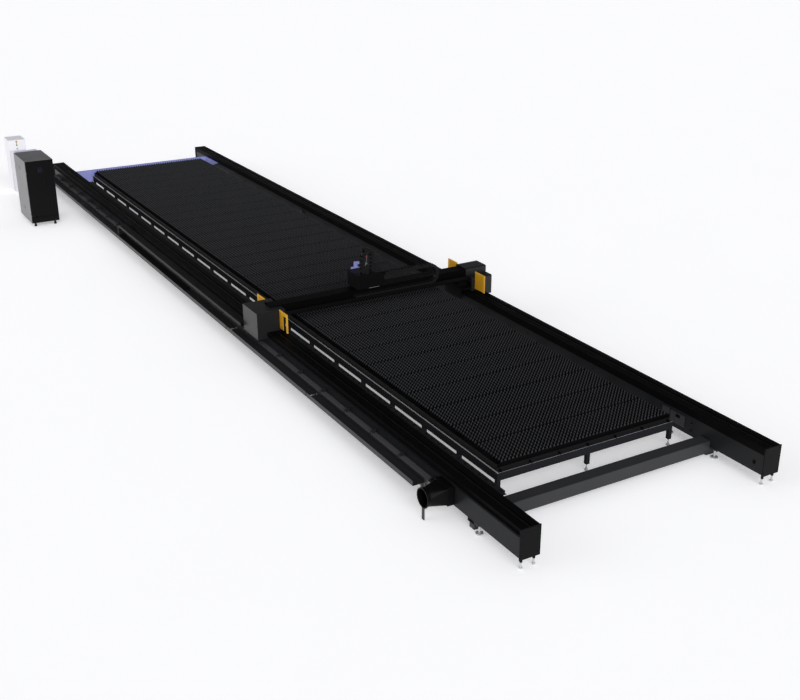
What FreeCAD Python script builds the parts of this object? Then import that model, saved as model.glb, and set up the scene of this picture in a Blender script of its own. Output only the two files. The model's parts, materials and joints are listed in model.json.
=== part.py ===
import FreeCAD, Part
import math
import os

# Flat-bed gantry laser cutting machine, 20 m class.  Millimetres, +Z up, +Y along the bed.
# Working frame: floor level, midway between the two bed beams and midway along them.
# The finished part is moved so that its origin is the middle of its footprint.

V = FreeCAD.Vector

# ---------------------------------------------------------------- driving dimensions
# Fits and small clearances
RUN_GAP = 0.3            # gap between faces that slide past each other
SHAFT_GAP = 0.08         # radial clearance of a shaft in its hole
ROUND_SIDES = 16         # flats of small round pieces
FOOT_SIDES = 6           # flats of the many feet
SEAT_GAP = 3.0           # free space round a piece that passes through a sheet

# Table modules, and how far the bed beams reach beyond the table at each end
MODULE_LENGTH = 1953.0
MODULE_COUNT = 10
TABLE_TUBE = 60.0
BED_NEAR_MARGIN = 1598.0
BED_FAR_MARGIN = 1174.0

# Bed beams: welded box beam, black cap with a guide groove on top
BED_GAUGE = 3925.0       # clear width between the two beams
BED_WIDTH = 291.0
BED_BOTTOM = 170.0
BED_TOP = 600.0
CAP_HEIGHT = 115.0
BED_WALL = 8.0
BED_INSET = 4.0          # the grey beam stands back from the cap on each side
GROOVE_WIDTH = 66.0
GROOVE_DEPTH = 34.0
GUIDE_WIDTH = 28.0
GUIDE_HEIGHT = 29.0
RACK_WIDTH = 30.0
RACK_HEIGHT = 30.0
RACK_TOP = 525.0
END_PLATE_THICK = 16.0
END_PLATE_MARGIN = 14.0
LEDGE_WIDTH = 95.0
LEDGE_SHEET = 6.0
LEDGE_DROP = 60.0
LEDGE_NEAR_MARGIN = 801.0
LEDGE_FAR_MARGIN = 2561.0
LEDGE_CHAMFER = 80.0
SLOT_PITCH = 684.0
SLOT_LENGTH = 60.0
SLOT_WIDTH = 24.0

# Cross beams that tie the two bed beams near their ends
CROSS_DEPTH = 210.0
CROSS_WALL = 8.0
NEAR_CROSS_MARGIN = 1136.0
NEAR_CROSS_BOTTOM = 70.0
NEAR_CROSS_TOP = 265.0
NEAR_CROSS_INSET = 48.5  # its lower part runs on under the bed beams, this far from their outer sides
FAR_CROSS_MARGIN = 841.0
FAR_CROSS_DEPTH = 110.0
FAR_CROSS_BOTTOM = 180.0
FAR_RIB_PITCH = 870.0    # upright ribs between the far cross beam and the table
FAR_RIB_COUNT = 4
FAR_RIB_THICK = 16.0
FAR_RIB_BOTTOM = 290.0
FAR_GUSSET_REACH = 910.0 # from the beam's near face along the bed
FAR_GUSSET_THICK = 20.0
FAR_PAD_LENGTH = 110.0

# Feet of the bed
FOOT_CLEAR = 10.0
FOOT_NEXT_MARGIN = 1921.0
FOOT_BAY_COUNT = 10
FOOT_SHIFT = 90.0        # the feet stand this far to the left of each beam's middle
FOOT_DISC_RADIUS = 60.0
FOOT_DISC_THICK = 22.0
FOOT_STEM_RADIUS = 18.0
FOOT_BRACKET = 110.0
FOOT_BRACKET_THICK = 20.0
END_FOOT_MARGIN = 31.0
END_FOOT_SPREAD = 100.0
END_FOOT_RADIUS = 26.0

# Slat table
TABLE_X0 = -1488.0
TABLE_X1 = 1737.0
TABLE_TUBE_TOP = 400.0
TABLE_RAIL_HEIGHT = 120.0
COLUMN_COUNT = 3
MODULE_LEG_ROW_COUNT = 2
LEG_BOTTOM = 110.0
TABLE_FOOT_RADIUS = 36.0
TABLE_FOOT_HEIGHT = 62.0
TABLE_STEM_RADIUS = 9.0
CARRIER_THICK = 8.0
CARRIER_TOP = 440.0
CARRIER_PITCH = 513.0
CARRIER_COUNT = 7
SLAT_TOP = 560.0
SLAT_THICK = 4.0
MODULE_SLAT_COUNT = 30
SLAT_OVERHANG = 31.0     # the slats stop this far inside the frame's outer faces
SLAT_GROUP_COUNT = 4

# Suction duct beside the left bed beam
DUCT_GAP = 2.0
DUCT_WIDTH = 104.0
DUCT_TOP = 340.0
DUCT_BOTTOM = 175.0
DUCT_SHEET = 3.0
DUCT_NEAR_MARGIN = 1831.0
DUCT_FAR_MARGIN = 231.0
DUCT_CAP = 5.0
RIB_PITCH = 840.0
RIB_MARGIN = 142.0
RIB_THICK = 12.0
RIB_RISE = 60.0
RIB_ARCH = 40.0
OUTLET_RADIUS = 135.0
OUTLET_REACH = 240.0
OUTLET_FACETS = 24          # flats that the branch and the spigot are folded from
OUTLET_SPIGOT = 60.0
OUTLET_SET_BACK = 10.0    # the branch sits this far in front of the end box's middle
OUTLET_Z = 335.0
OUTLET_BOX_LENGTH = 340.0
OUTLET_BOX_TOP = 475.0
OUTLET_BOX_BOTTOM = 195.0
OUTLET_LIP = 14.0
OUTLET_LIP_THICK = 10.0
OUTLET_FOOT_RADIUS = 30.0

# Tray beside the duct, in which the long cable chain lies
TRAY_GAP = 6.0
TRAY_OUTER_X = -2560.0
TRAY_FLOOR = 276.0
TRAY_LIP_TOP = 356.0
TRAY_SHEET = 4.0
TRAY_NEAR_MARGIN = 2081.0
TRAY_FAR_MARGIN = 81.0
TRAY_SECTION_COUNT = 6
TRAY_JOINT = 24.0
TRAY_BRACKET = 50.0
TRAY_BRACKET_THICK = 20.0
TRAY_BRACKET_OUT = 150.0    # a bracket reaches this far from the bed's outer wall

# Long cable chain of the gantry
CHAIN_GAP = 3.0
CHAIN_WIDTH = 158.0
CHAIN_HEIGHT = 60.0
CHAIN_RADIUS = 137.5     # bend radius on the middle line
CHAIN_FIXED_Y = 50.0
CHAIN_BEND_Y = 4180.0    # centre of the bend with the gantry where it stands
LINK_GROOVE = 5.0
BEND_LINK_COUNT = 9

# Gantry
GANTRY_Y = -3320.0
BEAM_DEPTH = 255.0
BEAM_TOP = 1000.0
BEAM_BOTTOM = 770.0
BEAM_WALL = 10.0
BEAM_LEFT = -2120.0
BEAM_RIGHT = 2000.0
BEAM_GUIDE = 20.0
BEAM_GUIDE_LOW = 830.0
BEAM_GUIDE_HIGH = 950.0
BEAM_TRAY_WIDTH = 118.0
BEAM_TRAY_FLOOR = 866.0
BEAM_TRAY_LIP_TOP = 900.0
BEAM_TRAY_LIP_BOTTOM = 830.0
BEAM_TRAY_SHEET = 4.0
BEAM_TRAY_LEFT = -1925.0

# Carriages at the ends of the gantry
BASE_BOTTOM = 640.0
BASE_THICK = 30.0
BASE_LENGTH = 560.0
RIGHT_BASE_INNER = 1840.0
RISER_WIDTH = 290.0
BLOCK_WIDTH = 60.0
BLOCK_LENGTH = 120.0
BLOCK_SPACING = 360.0
PINION_RADIUS = 40.0
PINION_THICK = 34.0
PINION_SHAFT = 16.0
MOTOR_HALF = 65.0
MOTOR_HEIGHT = 270.0
COVER_SHEET = 3.0
LEFT_COVER_OUTER = -2468.0
LEFT_COVER_INNER = -1930.0
COVER_FRONT = 317.0      # front of the covers, ahead of the gantry's middle
COVER_TOP = 980.0
COVER_BOTTOM = 490.0
COVER_CLEAR = 5.0        # free height of the covers over the bed
RIGHT_COVER_OUTER = 2490.0
RIGHT_COVER_INNER = 2026.0
RIGHT_COVER_TOP = 866.0
HOOD_INNER = 2006.0
HOOD_OUTER = 2475.0
HOOD_FRONT = 130.0       # the hood reaches this far in front of the gantry's middle
HOOD_BACK = 220.0
HOOD_TOP = 1010.0
HOOD_RADIUS = 28.0
DROP_PLATE_X = 1925.0
DROP_PLATE_THICK = 12.0
DROP_PLATE_LENGTH = 580.0
DROP_PLATE_BOTTOM = 390.0
DROP_PLATE_SHIFT = 180.0

# Yellow guard plates
GUARD_BOTTOM = 645.0
GUARD_TOP = 990.0
GUARD_THICK = 8.0
GUARD_LEFT_X = -2037.0
GUARD_RIGHT_X = 2100.0
GUARD_REACH = 645.0      # from the gantry's middle to the guards' outer ends
GUARD_ROOT = 320.0       # from the gantry's middle to the guards, in front of the covers
GUARD_TONGUE_END = 245.0 # a tongue of each guard runs on to here, over the base plate
GUARD_TONGUE_TOP = 700.0
GUARD_SLOT = 125.0
GUARD_SLOT_FROM = 55.0   # width of the strip outside the slot
GUARD_SLOT_TOP = 920.0

# Cross carriage with the laser head
HEAD_LEFT = -390.0
HEAD_RIGHT = 160.0
HEAD_FRONT = -3500.0
HEAD_BACK = -3090.0
HEAD_BOTTOM = 1010.0
HEAD_TOP = 1290.0
HEAD_SHEET = 4.0
SADDLE_THICK = 20.0
SADDLE_BOTTOM = 790.0
SADDLE_BLOCK = 60.0
SADDLE_BLOCK_LENGTH = 110.0
Z_UNIT_LEFT = -264.0
Z_UNIT_WIDTH = 132.0
Z_UNIT_DEPTH = 108.0
Z_UNIT_BOTTOM = 830.0
Z_MOTOR_HEIGHT = 110.0
Z_MOTOR_SIZE = 54.0
Z_MOTOR_BACK = 14.0      # the motor stands this far behind the head
Z_PLUG_LENGTH = 40.0
Z_PLUG_HEIGHT = 44.0
Z_RAIL = 15.0
Z_RAIL_DEPTH = 24.0
Z_SLIDE_HEIGHT = 180.0
Z_SLIDE_BOTTOM = 930.0
Z_SLIDE_WALL = 10.0
Z_ARM = 16.0
Z_ARM_UP = 150.0         # height of the arm over the slide's bottom
Z_UP = 100.0             # upward travel
Z_DOWN = 70.0            # downward travel
CUTTER_X = -8.0
CUTTER_RADIUS = 40.0
CUTTER_NECK_RADIUS = 25.5
CUTTER_TOP = 1360.0
CUTTER_SHOULDER = 1130.0
CUTTER_BOTTOM = 760.0
NOZZLE_TIP = 640.0
NOZZLE_RADIUS = 9.0

# Cable chain of the cross carriage and the bow on top of the head
BOW_RADIUS = 98.0
BOW_CENTRE_X = -142.0
BOW_Y = -3400.0
BOW_WIDTH = 90.0
BOW_HEIGHT = 65.0
BOW_TOP = 1748.0
BEAM_CHAIN_WIDTH = 96.0
BEAM_CHAIN_HEIGHT = 60.0
BEAM_CHAIN_TOP = 1285.0
BEAM_CHAIN_FIXED_X = -470.0
BEAM_CHAIN_BEND_X = 1120.0

# Power cabinet
CABINET_X0 = -3853.0
CABINET_WIDTH = 676.0
CABINET_MARGIN = 4026.0   # from the bed's far end to the cabinet's front
CABINET_DEPTH = 1194.0
CABINET_BOTTOM = 94.0
CABINET_TOP = 1640.0
CABINET_SHEET = 3.0
DOOR_THICK = 22.0
DOOR_MARGIN = 6.0
DOOR_GAP = 1.0
HINGE_RADIUS = 6.0
HINGE_LENGTH = 60.0
KNUCKLE_LENGTH = 25.0
HINGE_INSET = 200.0      # from the ends of a door to its hinges
SCREEN_WIDTH = 140.0
SCREEN_HEIGHT = 140.0
SCREEN_X = -3510.0
SCREEN_Z = 1410.0
SCREEN_THICK = 8.0
HANDLE_X = -3450.0
HANDLE_Z = 1115.0
HANDLE_LENGTH = 110.0
HANDLE_WIDTH = 26.0
HANDLE_OUT = 30.0
KEY_X = -3620.0
KEY_Z = 1100.0
KEY_RADIUS = 16.0
KEY_OUT = 18.0
COOLER_DEPTH = 270.0
COOLER_INSET = 60.0
COOLER_BOTTOM = 1000.0
COOLER_TOP = 1620.0
CABINET_FOOT_INSET = 97.0
CABINET_FOOT_RADIUS = 35.0

# Control cabinet
CONTROL_X0 = -3466.0
CONTROL_WIDTH = 440.0
CONTROL_MARGIN = 396.0
CONTROL_DEPTH = 560.0
CONTROL_TOP = 1450.0
CONTROL_PLINTH = 60.0
PLINTH_INSET = 30.0
LAMP_RADIUS = 14.0
LAMP_OUT = 16.0
LAMP_PITCH = 46.0
LAMP_TOP_Z = 1402.0
LAMP_X = -3264.0
STOP_Z = 1213.0
STOP_X = -3264.0
STOP_RADIUS = 18.0
STOP_OUT = 26.0
STOP_STROKE = 6.0

# ---------------------------------------------------------------- values that follow
HALF_GAUGE = BED_GAUGE / 2
BED_OUTER = HALF_GAUGE + BED_WIDTH
BED_MIDDLE = HALF_GAUGE + BED_WIDTH / 2
TABLE_LENGTH = MODULE_LENGTH * MODULE_COUNT + TABLE_TUBE
BED_LENGTH = BED_NEAR_MARGIN + TABLE_LENGTH + BED_FAR_MARGIN
HALF_BED = BED_LENGTH / 2
LEDGE_START = -HALF_BED + LEDGE_NEAR_MARGIN
LEDGE_END = HALF_BED - LEDGE_FAR_MARGIN
TABLE_Y0 = -HALF_BED + BED_NEAR_MARGIN
TABLE_Y1 = TABLE_Y0 + TABLE_LENGTH
NEAR_CROSS_Y = -HALF_BED + NEAR_CROSS_MARGIN
NEAR_CROSS_REACH = BED_OUTER - NEAR_CROSS_INSET
FAR_CROSS_Y = HALF_BED - FAR_CROSS_MARGIN
FOOT_END_Y = HALF_BED - NEAR_CROSS_MARGIN + CROSS_DEPTH / 2 + FOOT_BRACKET / 2 + FOOT_CLEAR
FOOT_NEXT_Y = HALF_BED - FOOT_NEXT_MARGIN
END_FOOT_Y = HALF_BED - END_FOOT_MARGIN
CAP_BOTTOM = BED_TOP - CAP_HEIGHT
GROOVE_FLOOR = BED_TOP - GROOVE_DEPTH
GUIDE_TOP = GROOVE_FLOOR + GUIDE_HEIGHT
BEAM_FRONT = GANTRY_Y - BEAM_DEPTH / 2
BEAM_BACK = GANTRY_Y + BEAM_DEPTH / 2
BASE_TOP = BASE_BOTTOM + BASE_THICK
COVER_Y0 = GANTRY_Y - COVER_FRONT
COVER_Y1 = GANTRY_Y + COVER_FRONT
PINION_X = BED_OUTER + RACK_WIDTH + RUN_GAP + PINION_RADIUS
DUCT_INNER = -BED_OUTER - DUCT_GAP
DUCT_START = -HALF_BED + DUCT_NEAR_MARGIN
DUCT_END = HALF_BED - DUCT_FAR_MARGIN
RIB_FIRST = DUCT_START + RIB_MARGIN
RIB_COUNT = int((DUCT_END - RIB_FIRST) / RIB_PITCH) + 1
OUTLET_Y = DUCT_START - OUTLET_BOX_LENGTH / 2 - OUTLET_SET_BACK
TRAY_START = -HALF_BED + TRAY_NEAR_MARGIN
TRAY_END = HALF_BED - TRAY_FAR_MARGIN
CABINET_Y0 = HALF_BED - CABINET_MARGIN
CONTROL_Y0 = HALF_BED - CONTROL_MARGIN
DUCT_OUTER = DUCT_INNER - DUCT_WIDTH
TRAY_INNER_X = DUCT_OUTER - TRAY_GAP
CHAIN_X1 = TRAY_INNER_X - TRAY_SHEET - CHAIN_GAP
CHAIN_X0 = CHAIN_X1 - CHAIN_WIDTH
CHAIN_BOTTOM = TRAY_FLOOR + TRAY_SHEET + RUN_GAP
CHAIN_MIDDLE_Z = CHAIN_BOTTOM + CHAIN_HEIGHT / 2 + CHAIN_RADIUS
Z_MIDDLE_Y = HEAD_BACK + Z_UNIT_DEPTH / 2
BOW_SPRING_Z = BOW_TOP - BOW_RADIUS - BOW_HEIGHT / 2
BOW_FIXED_X = BOW_CENTRE_X - BOW_RADIUS - BOW_HEIGHT / 2
BOW_MOVING_X = BOW_CENTRE_X + BOW_RADIUS - BOW_HEIGHT / 2
BEAM_TRAY_FRONT = BEAM_FRONT - BEAM_TRAY_WIDTH
BEAM_CHAIN_Y0 = BEAM_TRAY_FRONT + BEAM_TRAY_SHEET + RUN_GAP + 5.0
BEAM_CHAIN_BOTTOM = BEAM_TRAY_FLOOR + BEAM_TRAY_SHEET + RUN_GAP
BEAM_CHAIN_RADIUS = (BEAM_CHAIN_TOP - BEAM_CHAIN_BOTTOM - BEAM_CHAIN_HEIGHT) / 2
BEAM_CHAIN_MIDDLE_Z = BEAM_CHAIN_BOTTOM + BEAM_CHAIN_HEIGHT / 2 + BEAM_CHAIN_RADIUS

# Middle of the footprint, to which the finished part is moved
FOOTPRINT_X0 = CABINET_X0
FOOTPRINT_X1 = RIGHT_COVER_OUTER
FOOTPRINT_Y0 = -HALF_BED - END_PLATE_THICK
FOOTPRINT_Y1 = CONTROL_Y0 + CONTROL_DEPTH
ORIGIN = V((FOOTPRINT_X0 + FOOTPRINT_X1) / 2, (FOOTPRINT_Y0 + FOOTPRINT_Y1) / 2, 0)


# ---------------------------------------------------------------- shape helpers
def block(x0, x1, y0, y1, z0, z1):
    """A solid between two opposite corners."""
    return Part.makeBox(x1 - x0, y1 - y0, z1 - z0, V(x0, y0, z0))


def along_y(outline, y0, y1):
    """A profile given as (x, z) points, extruded from y0 to y1."""
    wire = Part.makePolygon([V(x, y0, z) for x, z in outline + outline[:1]])
    return Part.Face(wire).extrude(V(0, y1 - y0, 0))


def along_x(outline, x0, x1):
    """A profile given as (y, z) points, extruded from x0 to x1."""
    wire = Part.makePolygon([V(x0, y, z) for y, z in outline + outline[:1]])
    return Part.Face(wire).extrude(V(x1 - x0, 0, 0))


def along_z(outline, z0, z1):
    """A profile given as (x, y) points, extruded from z0 to z1."""
    wire = Part.makePolygon([V(x, y, z0) for x, y in outline + outline[:1]])
    return Part.Face(wire).extrude(V(0, 0, z1 - z0))


def tube_y(x0, x1, z0, z1, wall, y0, y1):
    """A rectangular tube that runs along Y."""
    bore = block(x0 + wall, x1 - wall, y0, y1, z0 + wall, z1 - wall)
    return block(x0, x1, y0, y1, z0, z1).cut(bore)


def tube_x(y0, y1, z0, z1, wall, x0, x1):
    """A rectangular tube that runs along X."""
    bore = block(x0, x1, y0 + wall, y1 - wall, z0 + wall, z1 - wall)
    return block(x0, x1, y0, y1, z0, z1).cut(bore)


def many_sided(radius, a, b, sides=ROUND_SIDES):
    """Corners of the regular outline, about (a, b), of a round bar, edge or hole that is small or seldom seen."""
    turn = 2 * math.pi / sides
    return [(a + radius * math.cos(n * turn), b + radius * math.sin(n * turn)) for n in range(sides)]


def polyhedron(outlines):
    """A closed solid of flat faces, each given by its corners."""
    faces = [Part.Face(Part.makePolygon(list(outline) + [outline[0]])) for outline in outlines]
    solid = Part.Solid(Part.Shell(faces))
    return solid if solid.Volume > 0 else solid.reversed()


def faceted(profile, x, y, sides=ROUND_SIDES):
    """A turned piece in flats: a profile of (radius, z) pairs from the bottom up, about the axis (x, y)."""
    rings = [[V(a, b, z) for a, b in many_sided(radius, x, y, sides)] for radius, z in profile]
    walls = [(low[n - 1], low[n], high[n], high[n - 1]) for low, high in zip(rings, rings[1:])
             for n in range(sides)]
    return polyhedron([rings[0][::-1], rings[-1]] + walls)


def mirrored_x(shape):
    """The same piece on the other side of the machine's middle plane."""
    return shape.mirror(V(0, 0, 0), V(1, 0, 0))


def one_node(shapes):
    """Separate solids that share a node."""
    solids = [solid for shape in shapes for solid in shape.Solids]
    return Part.makeCompound(solids)


def hood(x0, x1, y0, y1, z0, z1, sheet, radius):
    """A sheet cover, open at the bottom, rounded along the front and back edges of its top."""
    def top_edges(box):
        return [e for e in box.Edges if e.BoundBox.XLength > 1 and e.BoundBox.ZMin > box.BoundBox.ZMax - 1]

    outer = block(x0, x1, y0, y1, z0, z1)
    inner = block(x0 + sheet, x1 - sheet, y0 + sheet, y1 - sheet, z0 - 1, z1 - sheet)
    outer = outer.makeFillet(radius, top_edges(outer))
    return outer.cut(inner.makeFillet(radius - sheet, top_edges(inner)))


# ---------------------------------------------------------------- bed
def bed_beam():
    return tube_y(HALF_GAUGE + BED_INSET, BED_OUTER - BED_INSET, BED_BOTTOM, CAP_BOTTOM, BED_WALL,
                  -HALF_BED, HALF_BED)


def bed_cap():
    """Black machined cap with the groove in which the linear guide lies."""
    g0 = BED_MIDDLE - GROOVE_WIDTH / 2
    g1 = BED_MIDDLE + GROOVE_WIDTH / 2
    outline = [(HALF_GAUGE, CAP_BOTTOM), (BED_OUTER, CAP_BOTTOM), (BED_OUTER, BED_TOP), (g1, BED_TOP),
               (g1, GROOVE_FLOOR), (g0, GROOVE_FLOOR), (g0, BED_TOP), (HALF_GAUGE, BED_TOP)]
    return along_y(outline, -HALF_BED, HALF_BED)


def guide_rail():
    return block(BED_MIDDLE - GUIDE_WIDTH / 2, BED_MIDDLE + GUIDE_WIDTH / 2, -HALF_BED, HALF_BED,
                 GROOVE_FLOOR, GUIDE_TOP)


def rack():
    return block(BED_OUTER, BED_OUTER + RACK_WIDTH, -HALF_BED, HALF_BED, RACK_TOP - RACK_HEIGHT, RACK_TOP)


def end_plates():
    """Flanged plates that close the ends of both beams."""
    plates = []
    for side in (-1, 1):
        x0, x1 = sorted((side * (HALF_GAUGE - END_PLATE_MARGIN), side * (BED_OUTER + END_PLATE_MARGIN)))
        for y0 in (-HALF_BED - END_PLATE_THICK, HALF_BED):
            plates.append(block(x0, x1, y0, y0 + END_PLATE_THICK, BED_BOTTOM - END_PLATE_MARGIN, BED_TOP))
    return one_node(plates)


def inner_ledge():
    """Slotted angle on the inner side of the left beam, flush with its top."""
    x0 = -HALF_GAUGE
    x1 = x0 + LEDGE_WIDTH
    top = block(x0, x1, LEDGE_START, LEDGE_END, BED_TOP - LEDGE_SHEET, BED_TOP)
    corner = along_z([(x1, LEDGE_START), (x1, LEDGE_START + LEDGE_CHAMFER), (x1 - LEDGE_CHAMFER, LEDGE_START)],
                     BED_TOP - LEDGE_SHEET, BED_TOP)
    wall = block(x0, x0 + LEDGE_SHEET, LEDGE_START, LEDGE_END, BED_TOP - LEDGE_DROP, BED_TOP)
    middle = (x0 + x1) / 2
    count = int((LEDGE_END - LEDGE_START - LEDGE_CHAMFER) / SLOT_PITCH)
    slots = [block(middle - SLOT_WIDTH / 2, middle + SLOT_WIDTH / 2, y, y + SLOT_LENGTH,
                   BED_TOP - LEDGE_SHEET, BED_TOP)
             for y in (LEDGE_START + LEDGE_CHAMFER + SLOT_PITCH * (n + 0.5) for n in range(count))]
    return top.cut(Part.makeCompound([corner] + slots)).fuse(wall).removeSplitter()


def near_cross_beam():
    """Square tube between the two beams; its lower part runs on under them and stands on pads."""
    y0 = NEAR_CROSS_Y - CROSS_DEPTH / 2
    y1 = NEAR_CROSS_Y + CROSS_DEPTH / 2
    reach = HALF_GAUGE + BED_INSET
    main = tube_x(y0, y1, NEAR_CROSS_BOTTOM, NEAR_CROSS_TOP, CROSS_WALL, -reach, reach)
    stub = tube_x(y0, y1, NEAR_CROSS_BOTTOM, BED_BOTTOM, CROSS_WALL, reach, NEAR_CROSS_REACH)
    pad = block(reach, NEAR_CROSS_REACH, NEAR_CROSS_Y - FOOT_BRACKET / 2, NEAR_CROSS_Y + FOOT_BRACKET / 2,
                0, NEAR_CROSS_BOTTOM)
    side = stub.fuse(pad)
    return main.fuse([side, mirrored_x(side)]).removeSplitter()


def far_cross_beam():
    """Tube between the two beams, with ribs that hold the table's end and a long gusset on each bed beam."""
    y0 = FAR_CROSS_Y - FAR_CROSS_DEPTH / 2
    reach = HALF_GAUGE + BED_INSET
    tube = tube_x(y0, y0 + FAR_CROSS_DEPTH, FAR_CROSS_BOTTOM, CAP_BOTTOM, CROSS_WALL, -reach, reach)
    first = -FAR_RIB_PITCH * (FAR_RIB_COUNT - 1) / 2
    ribs = [block(x - FAR_RIB_THICK / 2, x + FAR_RIB_THICK / 2, TABLE_Y1, y0, FAR_RIB_BOTTOM, CAP_BOTTOM)
            for x in (first + n * FAR_RIB_PITCH for n in range(FAR_RIB_COUNT))]
    gusset = along_x([(y0, FAR_CROSS_BOTTOM), (y0, CAP_BOTTOM), (y0 - FAR_GUSSET_REACH, CAP_BOTTOM)],
                     reach - FAR_GUSSET_THICK, reach)
    pad = block(reach - 2 * FAR_GUSSET_THICK, reach, y0 - FAR_PAD_LENGTH, y0, FAR_CROSS_BOTTOM, CAP_BOTTOM)
    side = gusset.fuse(pad)
    return tube.fuse(ribs + [side, mirrored_x(side)])


def foot_places():
    pitch = 2 * FOOT_NEXT_Y / FOOT_BAY_COUNT
    stations = [-FOOT_END_Y] + [-FOOT_NEXT_Y + n * pitch for n in range(FOOT_BAY_COUNT + 1)] + [FOOT_END_Y]
    return [(side * BED_MIDDLE - FOOT_SHIFT, y) for side in (-1, 1) for y in stations]


def bed_feet():
    """Levelling feet under the beams, and a pair of small round feet at each end."""
    top = BED_BOTTOM - FOOT_BRACKET_THICK
    profile = [(FOOT_DISC_RADIUS, 0), (FOOT_DISC_RADIUS, FOOT_DISC_THICK), (FOOT_STEM_RADIUS, FOOT_DISC_THICK),
               (FOOT_STEM_RADIUS, top)]
    feet = [faceted(profile, x, y, FOOT_SIDES) for x, y in foot_places()]
    r = END_FOOT_RADIUS
    small = [(r * 0.7, 0), (r, r * 0.5), (r, r), (r * 0.6, r * 1.5), (r * 0.6, BED_BOTTOM)]
    feet += [faceted(small, side * BED_MIDDLE + step, end, FOOT_SIDES)
             for side in (-1, 1) for step in (-END_FOOT_SPREAD, END_FOOT_SPREAD) for end in (-END_FOOT_Y, END_FOOT_Y)]
    return one_node(feet)


def foot_brackets():
    h = FOOT_BRACKET / 2
    return one_node([block(x - h, x + h, y - h, y + h, BED_BOTTOM - FOOT_BRACKET_THICK, BED_BOTTOM)
                     for x, y in foot_places()])


# ---------------------------------------------------------------- slat table
def leg_rows():
    return [TABLE_Y0 + n * MODULE_LENGTH / MODULE_LEG_ROW_COUNT for n in range(MODULE_COUNT * MODULE_LEG_ROW_COUNT + 1)]


def leg_columns():
    step = (TABLE_X1 - TABLE_X0 - TABLE_TUBE) / (COLUMN_COUNT - 1)
    return [TABLE_X0 + n * step for n in range(COLUMN_COUNT)]


def table_frame():
    """Frame of rectangular tube: long rails, ties between them and a row of legs every metre."""
    rail_bottom = TABLE_TUBE_TOP - TABLE_RAIL_HEIGHT
    columns = leg_columns()
    rails = [block(x, x + TABLE_TUBE, TABLE_Y0, TABLE_Y1, rail_bottom, TABLE_TUBE_TOP) for x in columns]
    ties = [block(x0 + TABLE_TUBE, x1, y, y + TABLE_TUBE, rail_bottom, TABLE_TUBE_TOP)
            for x0, x1 in zip(columns, columns[1:]) for y in leg_rows()]
    legs = [block(x, x + TABLE_TUBE, y, y + TABLE_TUBE, LEG_BOTTOM, rail_bottom)
            for x in columns for y in leg_rows()]
    return one_node(rails + ties + legs)


def table_feet():
    """Flared levelling foot under each leg, on a stem."""
    profile = [(TABLE_FOOT_RADIUS, 0), (TABLE_STEM_RADIUS, TABLE_FOOT_HEIGHT), (TABLE_STEM_RADIUS, LEG_BOTTOM)]
    h = TABLE_TUBE / 2
    return one_node([faceted(profile, x + h, y + h, FOOT_SIDES) for x in leg_columns() for y in leg_rows()])


def slat_carriers():
    """Upright bars that run the length of the table and carry the slats."""
    middle = (TABLE_X0 + TABLE_X1) / 2
    first = middle - CARRIER_PITCH * (CARRIER_COUNT - 1) / 2
    return one_node([block(x - CARRIER_THICK / 2, x + CARRIER_THICK / 2, TABLE_Y0, TABLE_Y1,
                           TABLE_TUBE_TOP, CARRIER_TOP)
                     for x in (first + n * CARRIER_PITCH for n in range(CARRIER_COUNT))])


def slats(group):
    """The slats of one group of table modules, standing on edge across the table."""
    per_group = MODULE_SLAT_COUNT * MODULE_COUNT // SLAT_GROUP_COUNT
    pitch = MODULE_LENGTH / MODULE_SLAT_COUNT
    first = TABLE_Y0 + TABLE_TUBE / 2 + pitch / 2 + group * per_group * pitch
    return one_node([block(TABLE_X0 + SLAT_OVERHANG, TABLE_X1 - SLAT_OVERHANG, y - SLAT_THICK / 2,
                           y + SLAT_THICK / 2, CARRIER_TOP, SLAT_TOP)
                     for y in (first + n * pitch for n in range(per_group))])


# ---------------------------------------------------------------- suction duct and chain tray
def duct_body():
    """Long rectangular duct of folded sheet beside the left beam, closed at its far end."""
    shell = tube_y(DUCT_OUTER, DUCT_INNER, DUCT_BOTTOM, DUCT_TOP, DUCT_SHEET, DUCT_START, DUCT_END)
    return shell.fuse(block(DUCT_OUTER, DUCT_INNER, DUCT_END, DUCT_END + DUCT_CAP, DUCT_BOTTOM, DUCT_TOP))


def duct_flanges():
    """Arched flanges that stand across the duct's top where its lengths meet."""
    flanges = []
    for n in range(RIB_COUNT):
        y = RIB_FIRST + n * RIB_PITCH
        foot = V(DUCT_OUTER, y, DUCT_TOP)
        rise = V(DUCT_OUTER, y, DUCT_TOP + RIB_RISE - RIB_ARCH)
        crown = V(DUCT_OUTER + DUCT_WIDTH * 0.3, y, DUCT_TOP + RIB_RISE - RIB_ARCH * 0.3)
        high = V(DUCT_INNER, y, DUCT_TOP + RIB_RISE)
        back = V(DUCT_INNER, y, DUCT_TOP)
        edges = [Part.LineSegment(foot, rise).toShape(), Part.Arc(rise, crown, high).toShape(),
                 Part.LineSegment(high, back).toShape(), Part.LineSegment(back, foot).toShape()]
        flanges.append(Part.Face(Part.Wire(edges)).extrude(V(0, RIB_THICK, 0)))
    return one_node(flanges)


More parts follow.
